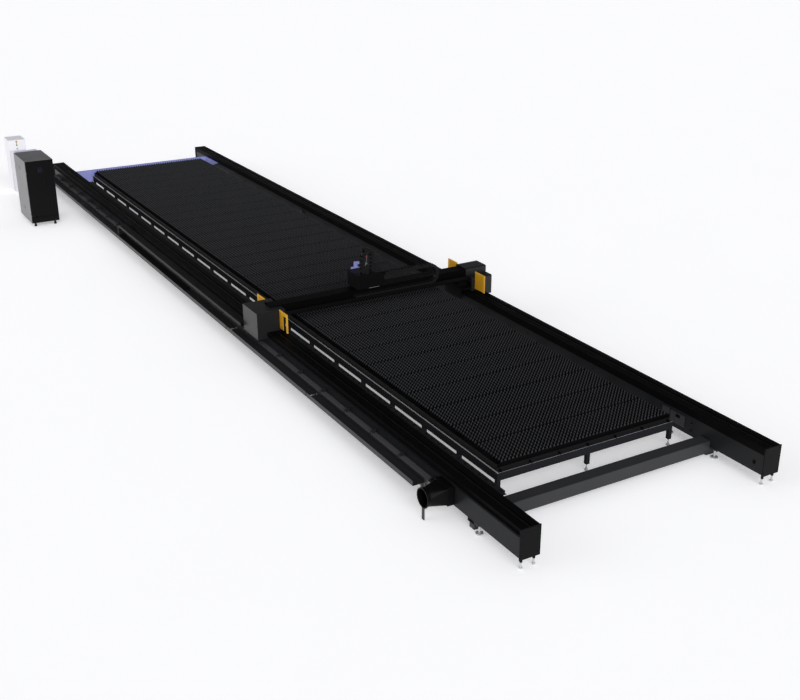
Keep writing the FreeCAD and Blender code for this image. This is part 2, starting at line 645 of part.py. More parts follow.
def branch_form(grow, start):
    """Solid form of the branch, folded from flats between the rectangle on the end box and the spigot's ring."""
    half = OUTLET_BOX_LENGTH / 2 - OUTLET_LIP_THICK + grow
    rise = OUTLET_RADIUS - OUTLET_LIP + grow
    rect = [V(start, OUTLET_Y + a * half, OUTLET_Z + b * rise) for a, b in ((1, 1), (-1, 1), (-1, -1), (1, -1))]
    quarter = OUTLET_FACETS // 4
    ring = [V(start - OUTLET_REACH, y, z)
            for y, z in many_sided(OUTLET_RADIUS + grow, OUTLET_Y, OUTLET_Z, OUTLET_FACETS)]
    flats = [rect, ring[::-1]]
    for corner in range(4):
        first = corner * quarter
        flats.append((rect[corner], rect[corner - 1], ring[first]))
        flats += [(rect[corner], ring[n], ring[(n + 1) % OUTLET_FACETS]) for n in range(first, first + quarter)]
    return polyhedron(flats)


def duct_outlet():
    """End box of the duct, with a window on its outer side for the branch."""
    t = DUCT_SHEET
    x0 = DUCT_OUTER - TRAY_GAP
    y0 = DUCT_START - OUTLET_BOX_LENGTH
    box = block(x0, DUCT_INNER, y0, DUCT_START, OUTLET_BOX_BOTTOM, OUTLET_BOX_TOP)
    chamber = block(x0 + t, DUCT_INNER - t, y0 + t, DUCT_START - t, OUTLET_BOX_BOTTOM + t, OUTLET_BOX_TOP - t)
    way_in = block(DUCT_OUTER + t, DUCT_INNER - t, DUCT_START - t - 1, DUCT_START + 1, OUTLET_BOX_BOTTOM + t,
                   DUCT_TOP - t)
    half = OUTLET_BOX_LENGTH / 2 - OUTLET_LIP_THICK - t
    rise = OUTLET_RADIUS - OUTLET_LIP - t
    window = block(x0 - 0.01, x0 + t + 1, OUTLET_Y - half, OUTLET_Y + half, OUTLET_Z - rise, OUTLET_Z + rise)
    return box.cut(chamber).cut(way_in).cut(window)


def outlet_branch():
    """Branch of the outlet, from the end box's window to the round spigot."""
    x0 = DUCT_OUTER - TRAY_GAP
    return branch_form(0, x0).cut(branch_form(-DUCT_SHEET, x0))


def outlet_spigot():
    """Spigot with a rolled lip, on which the suction hose is clamped: as many flats as the branch, a round bore."""
    def ring(radius):
        return many_sided(radius, OUTLET_Y, OUTLET_Z, OUTLET_FACETS)

    root = DUCT_OUTER - TRAY_GAP - OUTLET_REACH
    end = root - OUTLET_SPIGOT
    pipe = along_x(ring(OUTLET_RADIUS), end, root)
    lip = along_x(ring(OUTLET_RADIUS + OUTLET_LIP), end, end + OUTLET_LIP_THICK)
    bore = Part.makeCylinder(OUTLET_RADIUS - DUCT_SHEET, OUTLET_SPIGOT, V(end, OUTLET_Y, OUTLET_Z), V(1, 0, 0))
    return pipe.fuse(lip).cut(bore)


def duct_and_tray_supports():
    """Brackets from under the bed beam, below the duct and up to the tray, and a foot under the outlet."""
    h = TRAY_BRACKET / 2
    t = TRAY_BRACKET_THICK
    root = -BED_OUTER + TRAY_BRACKET
    outer = -BED_OUTER - TRAY_BRACKET_OUT
    outline = [(outer, BED_BOTTOM - t), (root, BED_BOTTOM - t), (root, BED_BOTTOM), (DUCT_INNER, BED_BOTTOM),
               (DUCT_INNER, DUCT_BOTTOM), (outer + t, DUCT_BOTTOM), (outer + t, TRAY_FLOOR), (outer, TRAY_FLOOR)]
    length = (TRAY_END - TRAY_START) / TRAY_SECTION_COUNT
    joints = [TRAY_START + n * length - TRAY_JOINT / 2 for n in range(1, TRAY_SECTION_COUNT)]
    supports = [along_y(outline, y - h, y + h) for y in [TRAY_START + h] + joints + [TRAY_END - TRAY_JOINT - h]]
    x0 = DUCT_OUTER - TRAY_GAP - OUTLET_REACH - OUTLET_SPIGOT + OUTLET_LIP_THICK
    foot = block(x0, x0 + OUTLET_LIP_THICK, OUTLET_Y - OUTLET_FOOT_RADIUS, OUTLET_Y + OUTLET_FOOT_RADIUS,
                 0, OUTLET_Z - OUTLET_RADIUS / 2)
    pipe = many_sided(OUTLET_RADIUS, OUTLET_Y, OUTLET_Z, OUTLET_FACETS)
    supports.append(foot.cut(along_x(pipe, x0 - OUTLET_LIP_THICK, x0 + 2 * OUTLET_LIP_THICK)))
    return one_node(supports)


def chain_tray():
    """Folded channel in several lengths, in which the lower run of the long chain lies."""
    s = TRAY_SHEET
    length = (TRAY_END - TRAY_START) / TRAY_SECTION_COUNT
    outline = [(TRAY_OUTER_X, TRAY_LIP_TOP), (TRAY_OUTER_X, TRAY_FLOOR), (TRAY_INNER_X, TRAY_FLOOR),
               (TRAY_INNER_X, DUCT_TOP), (TRAY_INNER_X - s, DUCT_TOP), (TRAY_INNER_X - s, TRAY_FLOOR + s),
               (TRAY_OUTER_X + s, TRAY_FLOOR + s), (TRAY_OUTER_X + s, TRAY_LIP_TOP)]
    return one_node([along_y(outline, TRAY_START + n * length, TRAY_START + (n + 1) * length - TRAY_JOINT)
                     for n in range(TRAY_SECTION_COUNT)])


def half_ring(radius_in, radius_out, grooves, groove):
    """Half of a flat ring in (u, w), open towards -u, with grooves between chain links on its outside."""
    outer = Part.Face(Part.Wire([
        Part.Arc(V(0, -radius_out, 0), V(radius_out, 0, 0), V(0, radius_out, 0)).toShape(),
        Part.LineSegment(V(0, radius_out, 0), V(0, radius_in, 0)).toShape(),
        Part.Arc(V(0, radius_in, 0), V(radius_in, 0, 0), V(0, -radius_in, 0)).toShape(),
        Part.LineSegment(V(0, -radius_in, 0), V(0, -radius_out, 0)).toShape()]))
    cuts = []
    for n in range(1, grooves):
        angle = -90 + 180.0 * n / grooves
        cut = Part.Face(Part.makePolygon([V(radius_out - groove, -groove / 2, 0), V(radius_out + 1, -groove / 2, 0),
                                          V(radius_out + 1, groove / 2, 0), V(radius_out - groove, groove / 2, 0),
                                          V(radius_out - groove, -groove / 2, 0)]))
        cut.rotate(V(0, 0, 0), V(0, 0, 1), angle)
        cuts.append(cut)
    return outer.cut(Part.makeCompound(cuts))


def long_chain_bend():
    """Bend of the long chain, where its links roll from the lower run to the upper one."""
    face = half_ring(CHAIN_RADIUS - CHAIN_HEIGHT / 2, CHAIN_RADIUS + CHAIN_HEIGHT / 2, BEND_LINK_COUNT, LINK_GROOVE)
    bend = face.extrude(V(0, 0, CHAIN_WIDTH))
    bend.Placement = FreeCAD.Placement(V(CHAIN_X0, CHAIN_BEND_Y, CHAIN_MIDDLE_Z),
                                       FreeCAD.Rotation(V(0, 1, 0), V(0, 0, 1), V(1, 0, 0), "ZXY"))
    return bend


def long_chain_lower_run():
    return block(CHAIN_X0, CHAIN_X1, CHAIN_FIXED_Y, CHAIN_BEND_Y, CHAIN_BOTTOM - RUN_GAP, CHAIN_BOTTOM + CHAIN_HEIGHT)


def long_chain_upper_run():
    z0 = CHAIN_MIDDLE_Z + CHAIN_RADIUS - CHAIN_HEIGHT / 2
    return block(CHAIN_X0, CHAIN_X1, COVER_Y1, CHAIN_BEND_Y, z0, z0 + CHAIN_HEIGHT)


# ---------------------------------------------------------------- gantry
def gantry_beam():
    return tube_x(BEAM_FRONT, BEAM_BACK, BEAM_BOTTOM, BEAM_TOP, BEAM_WALL, BEAM_LEFT, BEAM_RIGHT)


def gantry_tray():
    """Shelf in front of the beam for the lower run of its cable chain."""
    s = BEAM_TRAY_SHEET
    y0 = BEAM_TRAY_FRONT
    y1 = BEAM_FRONT
    outline = [(y0, BEAM_TRAY_LIP_BOTTOM), (y0 + s, BEAM_TRAY_LIP_BOTTOM), (y0 + s, BEAM_TRAY_FLOOR),
               (y1, BEAM_TRAY_FLOOR), (y1, BEAM_TRAY_FLOOR + s), (y0 + s, BEAM_TRAY_FLOOR + s),
               (y0 + s, BEAM_TRAY_LIP_TOP), (y0, BEAM_TRAY_LIP_TOP)]
    return along_x(outline, BEAM_TRAY_LEFT, BEAM_RIGHT)


def beam_guides():
    g = BEAM_GUIDE
    return one_node([block(LEFT_COVER_INNER + SEAT_GAP, BEAM_RIGHT, BEAM_BACK, BEAM_BACK + g,
                           z - g / 2, z + g / 2) for z in (BEAM_GUIDE_LOW, BEAM_GUIDE_HIGH)])


def carriage_base(inner, outer):
    """Right-hand base plate with the riser that carries the beam; the left one is its mirror image."""
    y0 = GANTRY_Y - BASE_LENGTH / 2
    y1 = GANTRY_Y + BASE_LENGTH / 2
    plate = block(inner, outer, y0, y1, BASE_BOTTOM, BASE_TOP)
    shaft_hole = along_z(many_sided(PINION_SHAFT + SEAT_GAP, PINION_X, GANTRY_Y), BASE_BOTTOM - 1, BASE_TOP + 1)
    riser = block(inner, inner + RISER_WIDTH, BEAM_FRONT, BEAM_BACK, BASE_TOP, BEAM_BOTTOM)
    return plate.fuse(riser).cut(shaft_hole).removeSplitter()


def carriage_bases():
    """Both bases; the right one also carries the plate that hangs inside the bed beam."""
    left = mirrored_x(carriage_base(-LEFT_COVER_INNER + COVER_SHEET, -LEFT_COVER_OUTER - COVER_SHEET))
    half = DROP_PLATE_LENGTH / 2
    y = GANTRY_Y + DROP_PLATE_SHIFT
    drop = block(DROP_PLATE_X, DROP_PLATE_X + DROP_PLATE_THICK, y - half, y + half, DROP_PLATE_BOTTOM, BASE_TOP)
    right = carriage_base(RIGHT_BASE_INNER, RIGHT_COVER_OUTER - COVER_SHEET)
    return one_node([left, right.fuse(drop).removeSplitter()])


def guide_blocks():
    """Linear guide blocks that clasp the guide rails from above."""
    w = BLOCK_WIDTH / 2
    channel = GUIDE_WIDTH / 2 + RUN_GAP
    roof = GUIDE_TOP + RUN_GAP
    foot = GROOVE_FLOOR + BLOCK_WIDTH / 10
    outline = [(-w, foot), (-channel, foot), (-channel, roof), (channel, roof), (channel, foot), (w, foot),
               (w, BASE_BOTTOM), (-w, BASE_BOTTOM)]
    blocks = []
    for side in (-1, 1):
        for step in (-0.5, 0.5):
            y = GANTRY_Y + step * BLOCK_SPACING
            shifted = [(side * BED_MIDDLE + x, z) for x, z in outline]
            blocks.append(along_y(shifted, y - BLOCK_LENGTH / 2, y + BLOCK_LENGTH / 2))
    return one_node(blocks)


def drive_motors():
    """Upright servo motors with chamfered corners, one on each carriage."""
    h = MOTOR_HALF
    c = h * 0.25
    outline = [(h, c - h), (h, h - c), (h - c, h), (c - h, h), (-h, h - c), (-h, c - h), (c - h, -h), (h - c, -h)]
    return one_node([along_z([(side * PINION_X + x, GANTRY_Y + y) for x, y in outline],
                             BASE_TOP, BASE_TOP + MOTOR_HEIGHT) for side in (-1, 1)])


def pinion(side):
    """Drive pinion with its shaft, which passes up through the base plate."""
    middle = RACK_TOP - RACK_HEIGHT / 2
    z0 = middle - PINION_THICK / 2
    z1 = middle + PINION_THICK / 2
    top = BASE_TOP - RUN_GAP
    profile = [(PINION_RADIUS, z0), (PINION_RADIUS, z1), (PINION_SHAFT, z1), (PINION_SHAFT, top)]
    return faceted(profile, side * PINION_X, GANTRY_Y)


def left_cover():
    """Folded cover of the left carriage: it hangs down outside the bed and clears its top."""
    s = COVER_SHEET
    x0 = LEFT_COVER_OUTER
    x1 = LEFT_COVER_INNER
    step_x = -BED_OUTER - RACK_WIDTH - COVER_CLEAR
    step_z = BED_TOP + COVER_CLEAR
    outer = along_y([(x0, COVER_BOTTOM), (step_x, COVER_BOTTOM), (step_x, step_z), (x1, step_z), (x1, COVER_TOP),
                     (x0, COVER_TOP)], COVER_Y0, COVER_Y1)
    inner = along_y([(x0 + s, COVER_BOTTOM - 1), (step_x + 1, COVER_BOTTOM - 1), (step_x + 1, step_z - 1),
                     (x1 - s, step_z - 1), (x1 - s, COVER_TOP - s), (x0 + s, COVER_TOP - s)],
                    COVER_Y0 + s, COVER_Y1 - s)
    g = SEAT_GAP
    beam_hole = block(x1 - s - 1, x1 + 1, BEAM_FRONT - g, BEAM_BACK + g, step_z - 1, BEAM_TOP + g)
    lid_hole = block(BEAM_LEFT - g, x1 + 1, BEAM_FRONT - g, BEAM_BACK + g, COVER_TOP - s - 1, COVER_TOP + 1)
    return outer.cut(inner).cut(beam_hole).cut(lid_hole).cut(tongue_slots(GUARD_LEFT_X))


def tongue_slots(x):
    """Free space for the guards' tongues in the end walls of a cover."""
    g = GUARD_THICK / 2 + SEAT_GAP
    return block(x - g, x + g, COVER_Y0 - 1, COVER_Y1 + 1, GUARD_BOTTOM - SEAT_GAP, GUARD_TONGUE_TOP + SEAT_GAP)


def right_outer_cover():
    """Rounded cover outside the right beam."""
    cover = hood(RIGHT_COVER_INNER, RIGHT_COVER_OUTER, COVER_Y0, COVER_Y1, COVER_BOTTOM, RIGHT_COVER_TOP,
                 COVER_SHEET, HOOD_RADIUS)
    step_x = BED_OUTER + RACK_WIDTH + COVER_CLEAR
    over_bed = block(RIGHT_COVER_INNER - 1, step_x, COVER_Y0 - 1, COVER_Y1 + 1, COVER_BOTTOM - 1,
                     BED_TOP + COVER_CLEAR)
    base_hole = block(RIGHT_COVER_INNER - 1, RIGHT_COVER_INNER + HOOD_RADIUS + 1,
                      GANTRY_Y - BASE_LENGTH / 2 - SEAT_GAP, GANTRY_Y + BASE_LENGTH / 2 + SEAT_GAP,
                      BASE_BOTTOM - SEAT_GAP, BEAM_BOTTOM + SEAT_GAP)
    motor = MOTOR_HALF + SEAT_GAP
    motor_hole = block(PINION_X - motor, PINION_X + motor, GANTRY_Y - motor, GANTRY_Y + motor,
                       RIGHT_COVER_TOP - COVER_SHEET - 1, RIGHT_COVER_TOP + 1)
    return cover.cut(over_bed).cut(base_hole).cut(motor_hole).cut(tongue_slots(GUARD_RIGHT_X))


def right_hood():
    """Rounded hood that carries the line of the beam on over the right motor."""
    return hood(HOOD_INNER, HOOD_OUTER, GANTRY_Y - HOOD_FRONT, GANTRY_Y + HOOD_BACK, RIGHT_COVER_TOP, HOOD_TOP,
                COVER_SHEET, HOOD_RADIUS)


def guard_plates():
    """Yellow guard plates fore and aft of the covers, each with a tongue; the left front one is slotted."""
    t = GUARD_THICK / 2
    bases = carriage_bases()
    plates = []
    for x in (GUARD_LEFT_X, GUARD_RIGHT_X):
        for side in (-1, 1):
            outline = [(GANTRY_Y + side * reach, z) for reach, z in (
                (GUARD_TONGUE_END, GUARD_BOTTOM), (GUARD_REACH, GUARD_BOTTOM), (GUARD_REACH, GUARD_TOP),
                (GUARD_ROOT, GUARD_TOP), (GUARD_ROOT, GUARD_TONGUE_TOP), (GUARD_TONGUE_END, GUARD_TONGUE_TOP))]
            plate = along_x(outline, x - t, x + t)
            if x < 0 and side < 0:
                y0 = GANTRY_Y - GUARD_REACH + GUARD_SLOT_FROM
                slot = block(x - t - 1, x + t + 1, y0, y0 + GUARD_SLOT, GUARD_BOTTOM - 1, GUARD_SLOT_TOP)
                plate = plate.cut(slot)
            plates.append(plate.cut(bases))
    return one_node(plates)


# ---------------------------------------------------------------- cross carriage
def arm_window():
    """Free space in which the slide's arm moves up and down."""
    z0 = Z_SLIDE_BOTTOM + Z_ARM_UP
    g = SEAT_GAP
    return block(BOW_MOVING_X - g, BOW_MOVING_X + BOW_HEIGHT + g, BOW_Y - BOW_WIDTH, Z_MIDDLE_Y,
                 z0 - Z_DOWN - g, z0 + Z_ARM + Z_UP + g)


def saddle():
    """Plate behind the beam with four guide blocks, which carries the head."""
    y0 = BEAM_BACK + BEAM_GUIDE + BEAM_GUIDE / 2
    plate = block(HEAD_LEFT + HEAD_SHEET + 1, HEAD_RIGHT - HEAD_SHEET - 1, y0, y0 + SADDLE_THICK, SADDLE_BOTTOM,
                  HEAD_TOP - HEAD_SHEET)
    solids = [plate.cut(arm_window())]
    g = BEAM_GUIDE / 2 + RUN_GAP
    w = SADDLE_BLOCK / 2
    face = BEAM_BACK + BEAM_GUIDE + RUN_GAP
    lip = BEAM_BACK + BEAM_GUIDE / 4
    for z in (BEAM_GUIDE_LOW, BEAM_GUIDE_HIGH):
        outline = [(lip, z - w), (y0, z - w), (y0, z + w), (lip, z + w), (lip, z + g), (face, z + g), (face, z - g),
                   (lip, z - g)]
        for x in (HEAD_LEFT + SADDLE_BLOCK, HEAD_RIGHT - SADDLE_BLOCK - SADDLE_BLOCK_LENGTH):
            solids.append(along_x(outline, x, x + SADDLE_BLOCK_LENGTH))
    return one_node(solids)


def head_housing():
    """Sheet box over the beam, open below."""
    s = HEAD_SHEET
    outer = block(HEAD_LEFT, HEAD_RIGHT, HEAD_FRONT, HEAD_BACK, HEAD_BOTTOM, HEAD_TOP)
    inner = block(HEAD_LEFT + s, HEAD_RIGHT - s, HEAD_FRONT + s, HEAD_BACK - s, HEAD_BOTTOM - 1, HEAD_TOP - s)
    g = SEAT_GAP
    leg_hole = block(BOW_MOVING_X - g, BOW_MOVING_X + BOW_HEIGHT + g, BOW_Y - BOW_WIDTH / 2 - g,
                     BOW_Y + BOW_WIDTH / 2 + g, HEAD_TOP - s - 1, HEAD_TOP + 1)
    return outer.cut(inner).cut(leg_hole).cut(arm_window())


def z_axis_unit():
    """Upright axis behind the head, with its motor on top and a guide rail on its side."""
    x0 = Z_UNIT_LEFT
    x1 = x0 + Z_UNIT_WIDTH
    front = BEAM_BACK + BEAM_GUIDE * 1.5 + SADDLE_THICK
    y0 = HEAD_BACK
    y1 = y0 + Z_UNIT_DEPTH
    step = HEAD_BOTTOM - SEAT_GAP
    column = along_x([(front, Z_UNIT_BOTTOM), (y1, Z_UNIT_BOTTOM), (y1, HEAD_TOP), (y0, HEAD_TOP), (y0, step),
                      (front, step)], x0, x1)
    motor_x = (x0 + x1 + Z_MOTOR_SIZE) / 2
    motor_y = y0 + Z_MOTOR_BACK
    motor = block(motor_x - Z_MOTOR_SIZE, motor_x, motor_y, motor_y + Z_MOTOR_SIZE, HEAD_TOP,
                  HEAD_TOP + Z_MOTOR_HEIGHT)
    plug = block(motor_x, motor_x + Z_PLUG_LENGTH, motor_y, motor_y + Z_PLUG_HEIGHT,
                 HEAD_TOP + Z_MOTOR_HEIGHT - Z_PLUG_HEIGHT, HEAD_TOP + Z_MOTOR_HEIGHT)
    motor = motor.fuse(plug)
    middle = (y0 + y1) / 2
    rail = block(x1, x1 + Z_RAIL, middle - Z_RAIL_DEPTH / 2, middle + Z_RAIL_DEPTH / 2, Z_UNIT_BOTTOM, HEAD_TOP)
    return one_node([column, motor, rail])


def z_slide():
    """Slide that clasps the upright rail, holds the cutting head in a ring and carries the bow's arm."""
    x1 = Z_UNIT_LEFT + Z_UNIT_WIDTH
    middle = Z_MIDDLE_Y
    channel = Z_RAIL_DEPTH / 2 + RUN_GAP
    wall = channel + Z_SLIDE_WALL
    face = x1 + Z_RAIL + RUN_GAP
    lip = x1 + Z_RAIL / 4
    z0 = Z_SLIDE_BOTTOM
    z1 = z0 + Z_SLIDE_HEIGHT
    jaw = along_z([(lip, middle - wall), (CUTTER_X, middle - wall), (CUTTER_X, middle + wall), (lip, middle + wall),
                   (lip, middle + channel), (face, middle + channel), (face, middle - channel),
                   (lip, middle - channel)], z0, z1)
    ring = along_z(many_sided(CUTTER_RADIUS + Z_SLIDE_WALL, CUTTER_X, middle), z0, z1)
    bore = along_z(many_sided(CUTTER_RADIUS, CUTTER_X, middle), z0 - 1, z1 + 1)
    arm = block(BOW_MOVING_X, BOW_MOVING_X + BOW_HEIGHT, BOW_Y - BOW_WIDTH / 2, middle, z0 + Z_ARM_UP,
                z0 + Z_ARM_UP + Z_ARM)
    return jaw.fuse([ring, arm]).cut(bore).removeSplitter()


def cutting_head():
    """Turned cutting head: collimator, body and nozzle."""
    profile = [(NOZZLE_RADIUS * 0.5, NOZZLE_TIP), (NOZZLE_RADIUS * 2, NOZZLE_TIP + 40),
               (NOZZLE_RADIUS * 2, NOZZLE_TIP + 60), (CUTTER_RADIUS, CUTTER_BOTTOM), (CUTTER_RADIUS, CUTTER_SHOULDER),
               (CUTTER_NECK_RADIUS, CUTTER_SHOULDER + 20), (CUTTER_NECK_RADIUS, CUTTER_TOP)]
    return faceted(profile, CUTTER_X, Z_MIDDLE_Y)


def head_bow():
    """Bow of cable chain on top of the head."""
    face = half_ring(BOW_RADIUS - BOW_HEIGHT / 2, BOW_RADIUS + BOW_HEIGHT / 2, BEND_LINK_COUNT, LINK_GROOVE)
    bend = face.extrude(V(0, 0, BOW_WIDTH))
    bend.Placement = FreeCAD.Placement(V(BOW_CENTRE_X, BOW_Y + BOW_WIDTH / 2, BOW_SPRING_Z),
                                       FreeCAD.Rotation(V(0, 0, 1), V(-1, 0, 0), V(0, -1, 0), "ZXY"))
    return bend


def bow_leg(x, z0):
    """Upright run of the bow's chain, from z0 to the bow."""
    return block(x, x + BOW_HEIGHT, BOW_Y - BOW_WIDTH / 2, BOW_Y + BOW_WIDTH / 2, z0, BOW_SPRING_Z)


def beam_chain_bend():
    face = half_ring(BEAM_CHAIN_RADIUS - BEAM_CHAIN_HEIGHT / 2, BEAM_CHAIN_RADIUS + BEAM_CHAIN_HEIGHT / 2,
                     BEND_LINK_COUNT, LINK_GROOVE)
    bend = face.extrude(V(0, 0, BEAM_CHAIN_WIDTH))
    bend.Placement = FreeCAD.Placement(V(BEAM_CHAIN_BEND_X, BEAM_CHAIN_Y0 + BEAM_CHAIN_WIDTH, BEAM_CHAIN_MIDDLE_Z),
                                       FreeCAD.Rotation(V(1, 0, 0), V(0, 0, 1), V(0, -1, 0), "ZXY"))
    return bend


def beam_chain_run(x0, z0, z1):
    """Straight run of the beam's chain, from x0 to its bend."""
    return block(x0, BEAM_CHAIN_BEND_X, BEAM_CHAIN_Y0, BEAM_CHAIN_Y0 + BEAM_CHAIN_WIDTH, z0, z1)


# ---------------------------------------------------------------- cabinets
def hinge_heights(z0, z1):
    return [z0 + HINGE_INSET, z1 - HINGE_INSET - HINGE_LENGTH]


def door_barrels(x, inward, front, z0, z1):
    """Hinge barrels in front of a door's edge at x, joined to it by webs."""
    y = front - HINGE_RADIUS - RUN_GAP
    made = []
    for z in hinge_heights(z0, z1):
        made.append(along_z(many_sided(HINGE_RADIUS, x, y), z, z + HINGE_LENGTH))
        x0, x1 = sorted((x, x + inward * HINGE_RADIUS / 2))
        made.append(block(x0, x1, y, front + DOOR_THICK / 2, z, z + HINGE_LENGTH))
    return made


def body_knuckles(x, wall, front, z0, z1):
    """Knuckles on which the door's barrels turn, each on an arm from the cabinet's side wall."""
    y = front - HINGE_RADIUS - RUN_GAP
    made = []
    for z in hinge_heights(z0, z1):
        foot = z - RUN_GAP - KNUCKLE_LENGTH
        x0, x1 = sorted((wall, wall + (CABINET_SHEET if wall < x else -CABINET_SHEET)))
        made.append(along_z(many_sided(HINGE_RADIUS, x, y), foot, foot + KNUCKLE_LENGTH))
        made.append(block(x0, x1, y, front + DOOR_THICK + 2 * DOOR_GAP, foot, foot + KNUCKLE_LENGTH))
    return made


def cabinet_body():
    """Steel cabinet, open at the front where its door closes it."""
    x1 = CABINET_X0 + CABINET_WIDTH
    y0 = CABINET_Y0 + DOOR_THICK + DOOR_GAP
    y1 = CABINET_Y0 + CABINET_DEPTH
    s = CABINET_SHEET
    outer = block(CABINET_X0, x1, y0, y1, CABINET_BOTTOM, CABINET_TOP)
    shell = outer.cut(block(CABINET_X0 + s, x1 - s, y0 - 1, y1 - s, CABINET_BOTTOM + s, CABINET_TOP - s))
    m = DOOR_MARGIN
    return shell.fuse(body_knuckles(CABINET_X0 + m, CABINET_X0, CABINET_Y0, CABINET_BOTTOM + m, CABINET_TOP - m))


def cabinet_feet():
    x1 = CABINET_X0 + CABINET_WIDTH
    y1 = CABINET_Y0 + CABINET_DEPTH
    profile = [(CABINET_FOOT_RADIUS, 0), (CABINET_FOOT_RADIUS * 0.8, CABINET_BOTTOM * 0.4),
               (CABINET_FOOT_RADIUS * 0.5, CABINET_BOTTOM)]
    i = CABINET_FOOT_INSET
    return one_node([faceted(profile, x, y) for x in (CABINET_X0 + i, x1 - i)
                     for y in (CABINET_Y0 + i, y1 - i)])


def cabinet_cooler():
    x1 = CABINET_X0 + CABINET_WIDTH
    y1 = CABINET_Y0 + CABINET_DEPTH
    return block(CABINET_X0 + COOLER_INSET, x1 - COOLER_INSET, y1, y1 + COOLER_DEPTH, COOLER_BOTTOM, COOLER_TOP)


def cabinet_door():
    """Door leaf on two hinge barrels at its left edge, with holes for the handle and the key."""
    x1 = CABINET_X0 + CABINET_WIDTH
    m = DOOR_MARGIN
    leaf = block(CABINET_X0 + m, x1 - m, CABINET_Y0, CABINET_Y0 + DOOR_THICK, CABINET_BOTTOM + m, CABINET_TOP - m)
    holes = [Part.makeCylinder(r, DOOR_THICK + 2, V(x, CABINET_Y0 - 1, z), V(0, 1, 0))
             for r, x, z in ((HANDLE_WIDTH / 2 + SHAFT_GAP, HANDLE_X, HANDLE_Z), (KEY_RADIUS * 0.7 + SHAFT_GAP, KEY_X, KEY_Z))]
    screen = block(SCREEN_X - SCREEN_WIDTH / 2, SCREEN_X + SCREEN_WIDTH / 2, CABINET_Y0 - 1,
                   CABINET_Y0 + SCREEN_THICK, SCREEN_Z - SCREEN_HEIGHT / 2, SCREEN_Z + SCREEN_HEIGHT / 2)
    barrels = door_barrels(CABINET_X0 + m, 1, CABINET_Y0, CABINET_BOTTOM + m, CABINET_TOP - m)
    return leaf.cut(Part.makeCompound(holes + [screen])).fuse(barrels)


def cabinet_screen():
    return block(SCREEN_X - SCREEN_WIDTH / 2, SCREEN_X + SCREEN_WIDTH / 2, CABINET_Y0,
                 CABINET_Y0 + SCREEN_THICK, SCREEN_Z - SCREEN_HEIGHT / 2, SCREEN_Z + SCREEN_HEIGHT / 2)


def door_handle():
    """Lever handle on a round spindle through the door."""
    spindle = Part.makeCylinder(HANDLE_WIDTH / 2, DOOR_THICK + HANDLE_OUT / 2,
                                V(HANDLE_X, CABINET_Y0 - HANDLE_OUT / 2, HANDLE_Z), V(0, 1, 0))
    grip = block(HANDLE_X - HANDLE_WIDTH / 2, HANDLE_X + HANDLE_WIDTH / 2, CABINET_Y0 - HANDLE_OUT,
                 CABINET_Y0 - HANDLE_OUT / 2, HANDLE_Z - HANDLE_LENGTH / 2, HANDLE_Z + HANDLE_LENGTH / 2)
    return grip.fuse(spindle).removeSplitter()


def key_switch():
    r = KEY_RADIUS * 0.7
    barrel = Part.makeCylinder(r, DOOR_THICK, V(KEY_X, CABINET_Y0, KEY_Z), V(0, 1, 0))
    collar = along_y(many_sided(KEY_RADIUS, KEY_X, KEY_Z), CABINET_Y0 - RUN_GAP - KEY_OUT / 3, CABINET_Y0 - RUN_GAP)
    neck = Part.makeCylinder(r, RUN_GAP + 1, V(KEY_X, CABINET_Y0 - RUN_GAP - 0.5, KEY_Z), V(0, 1, 0))
    bow = block(KEY_X - KEY_RADIUS * 0.2, KEY_X + KEY_RADIUS * 0.2, CABINET_Y0 - KEY_OUT,
                CABINET_Y0 - RUN_GAP - KEY_OUT / 3, KEY_Z - KEY_RADIUS * 0.8, KEY_Z + KEY_RADIUS * 0.8)
    return barrel.fuse([collar, neck, bow]).removeSplitter()


def control_cabinet_body():
    """Upright control cabinet on a plinth, with lamps and the stop button on a strip above its door."""
    x1 = CONTROL_X0 + CONTROL_WIDTH
    y1 = CONTROL_Y0 + CONTROL_DEPTH
    s = CABINET_SHEET
    strip = STOP_Z - 2 * STOP_RADIUS
    outer = block(CONTROL_X0, x1, CONTROL_Y0, y1, CONTROL_PLINTH, CONTROL_TOP)
    i = PLINTH_INSET
    plinth = block(CONTROL_X0 + i, x1 - i, CONTROL_Y0 + i, y1 - i, 0, CONTROL_PLINTH)
    inner = block(CONTROL_X0 + s, x1 - s, CONTROL_Y0 + s, y1 - s, CONTROL_PLINTH + s, CONTROL_TOP - s)
    recess = block(CONTROL_X0 - 1, x1 + 1, CONTROL_Y0 - 1, CONTROL_Y0 + DOOR_THICK + DOOR_GAP, CONTROL_PLINTH - 1,
                   strip)
    inner = inner.fuse(recess)
    button = Part.makeCylinder(STOP_RADIUS * 0.5 + SHAFT_GAP, 20, V(STOP_X, CONTROL_Y0 - 1, STOP_Z), V(0, 1, 0))
    knuckles = body_knuckles(x1 - DOOR_MARGIN, x1, CONTROL_Y0, CONTROL_PLINTH, strip - DOOR_GAP)
    return outer.cut(inner).fuse([plinth] + knuckles).cut(button)


def control_cabinet_door():
    x1 = CONTROL_X0 + CONTROL_WIDTH
    top = STOP_Z - 2 * STOP_RADIUS - DOOR_GAP
    m = DOOR_MARGIN
    leaf = block(CONTROL_X0 + m, x1 - m, CONTROL_Y0, CONTROL_Y0 + DOOR_THICK, CONTROL_PLINTH, top)
    return leaf.fuse(door_barrels(x1 - m, -1, CONTROL_Y0, CONTROL_PLINTH, top))


def signal_lamps():
    return one_node([along_y(many_sided(LAMP_RADIUS, LAMP_X, LAMP_TOP_Z - n * LAMP_PITCH), CONTROL_Y0 - LAMP_OUT,
                             CONTROL_Y0) for n in range(3)])


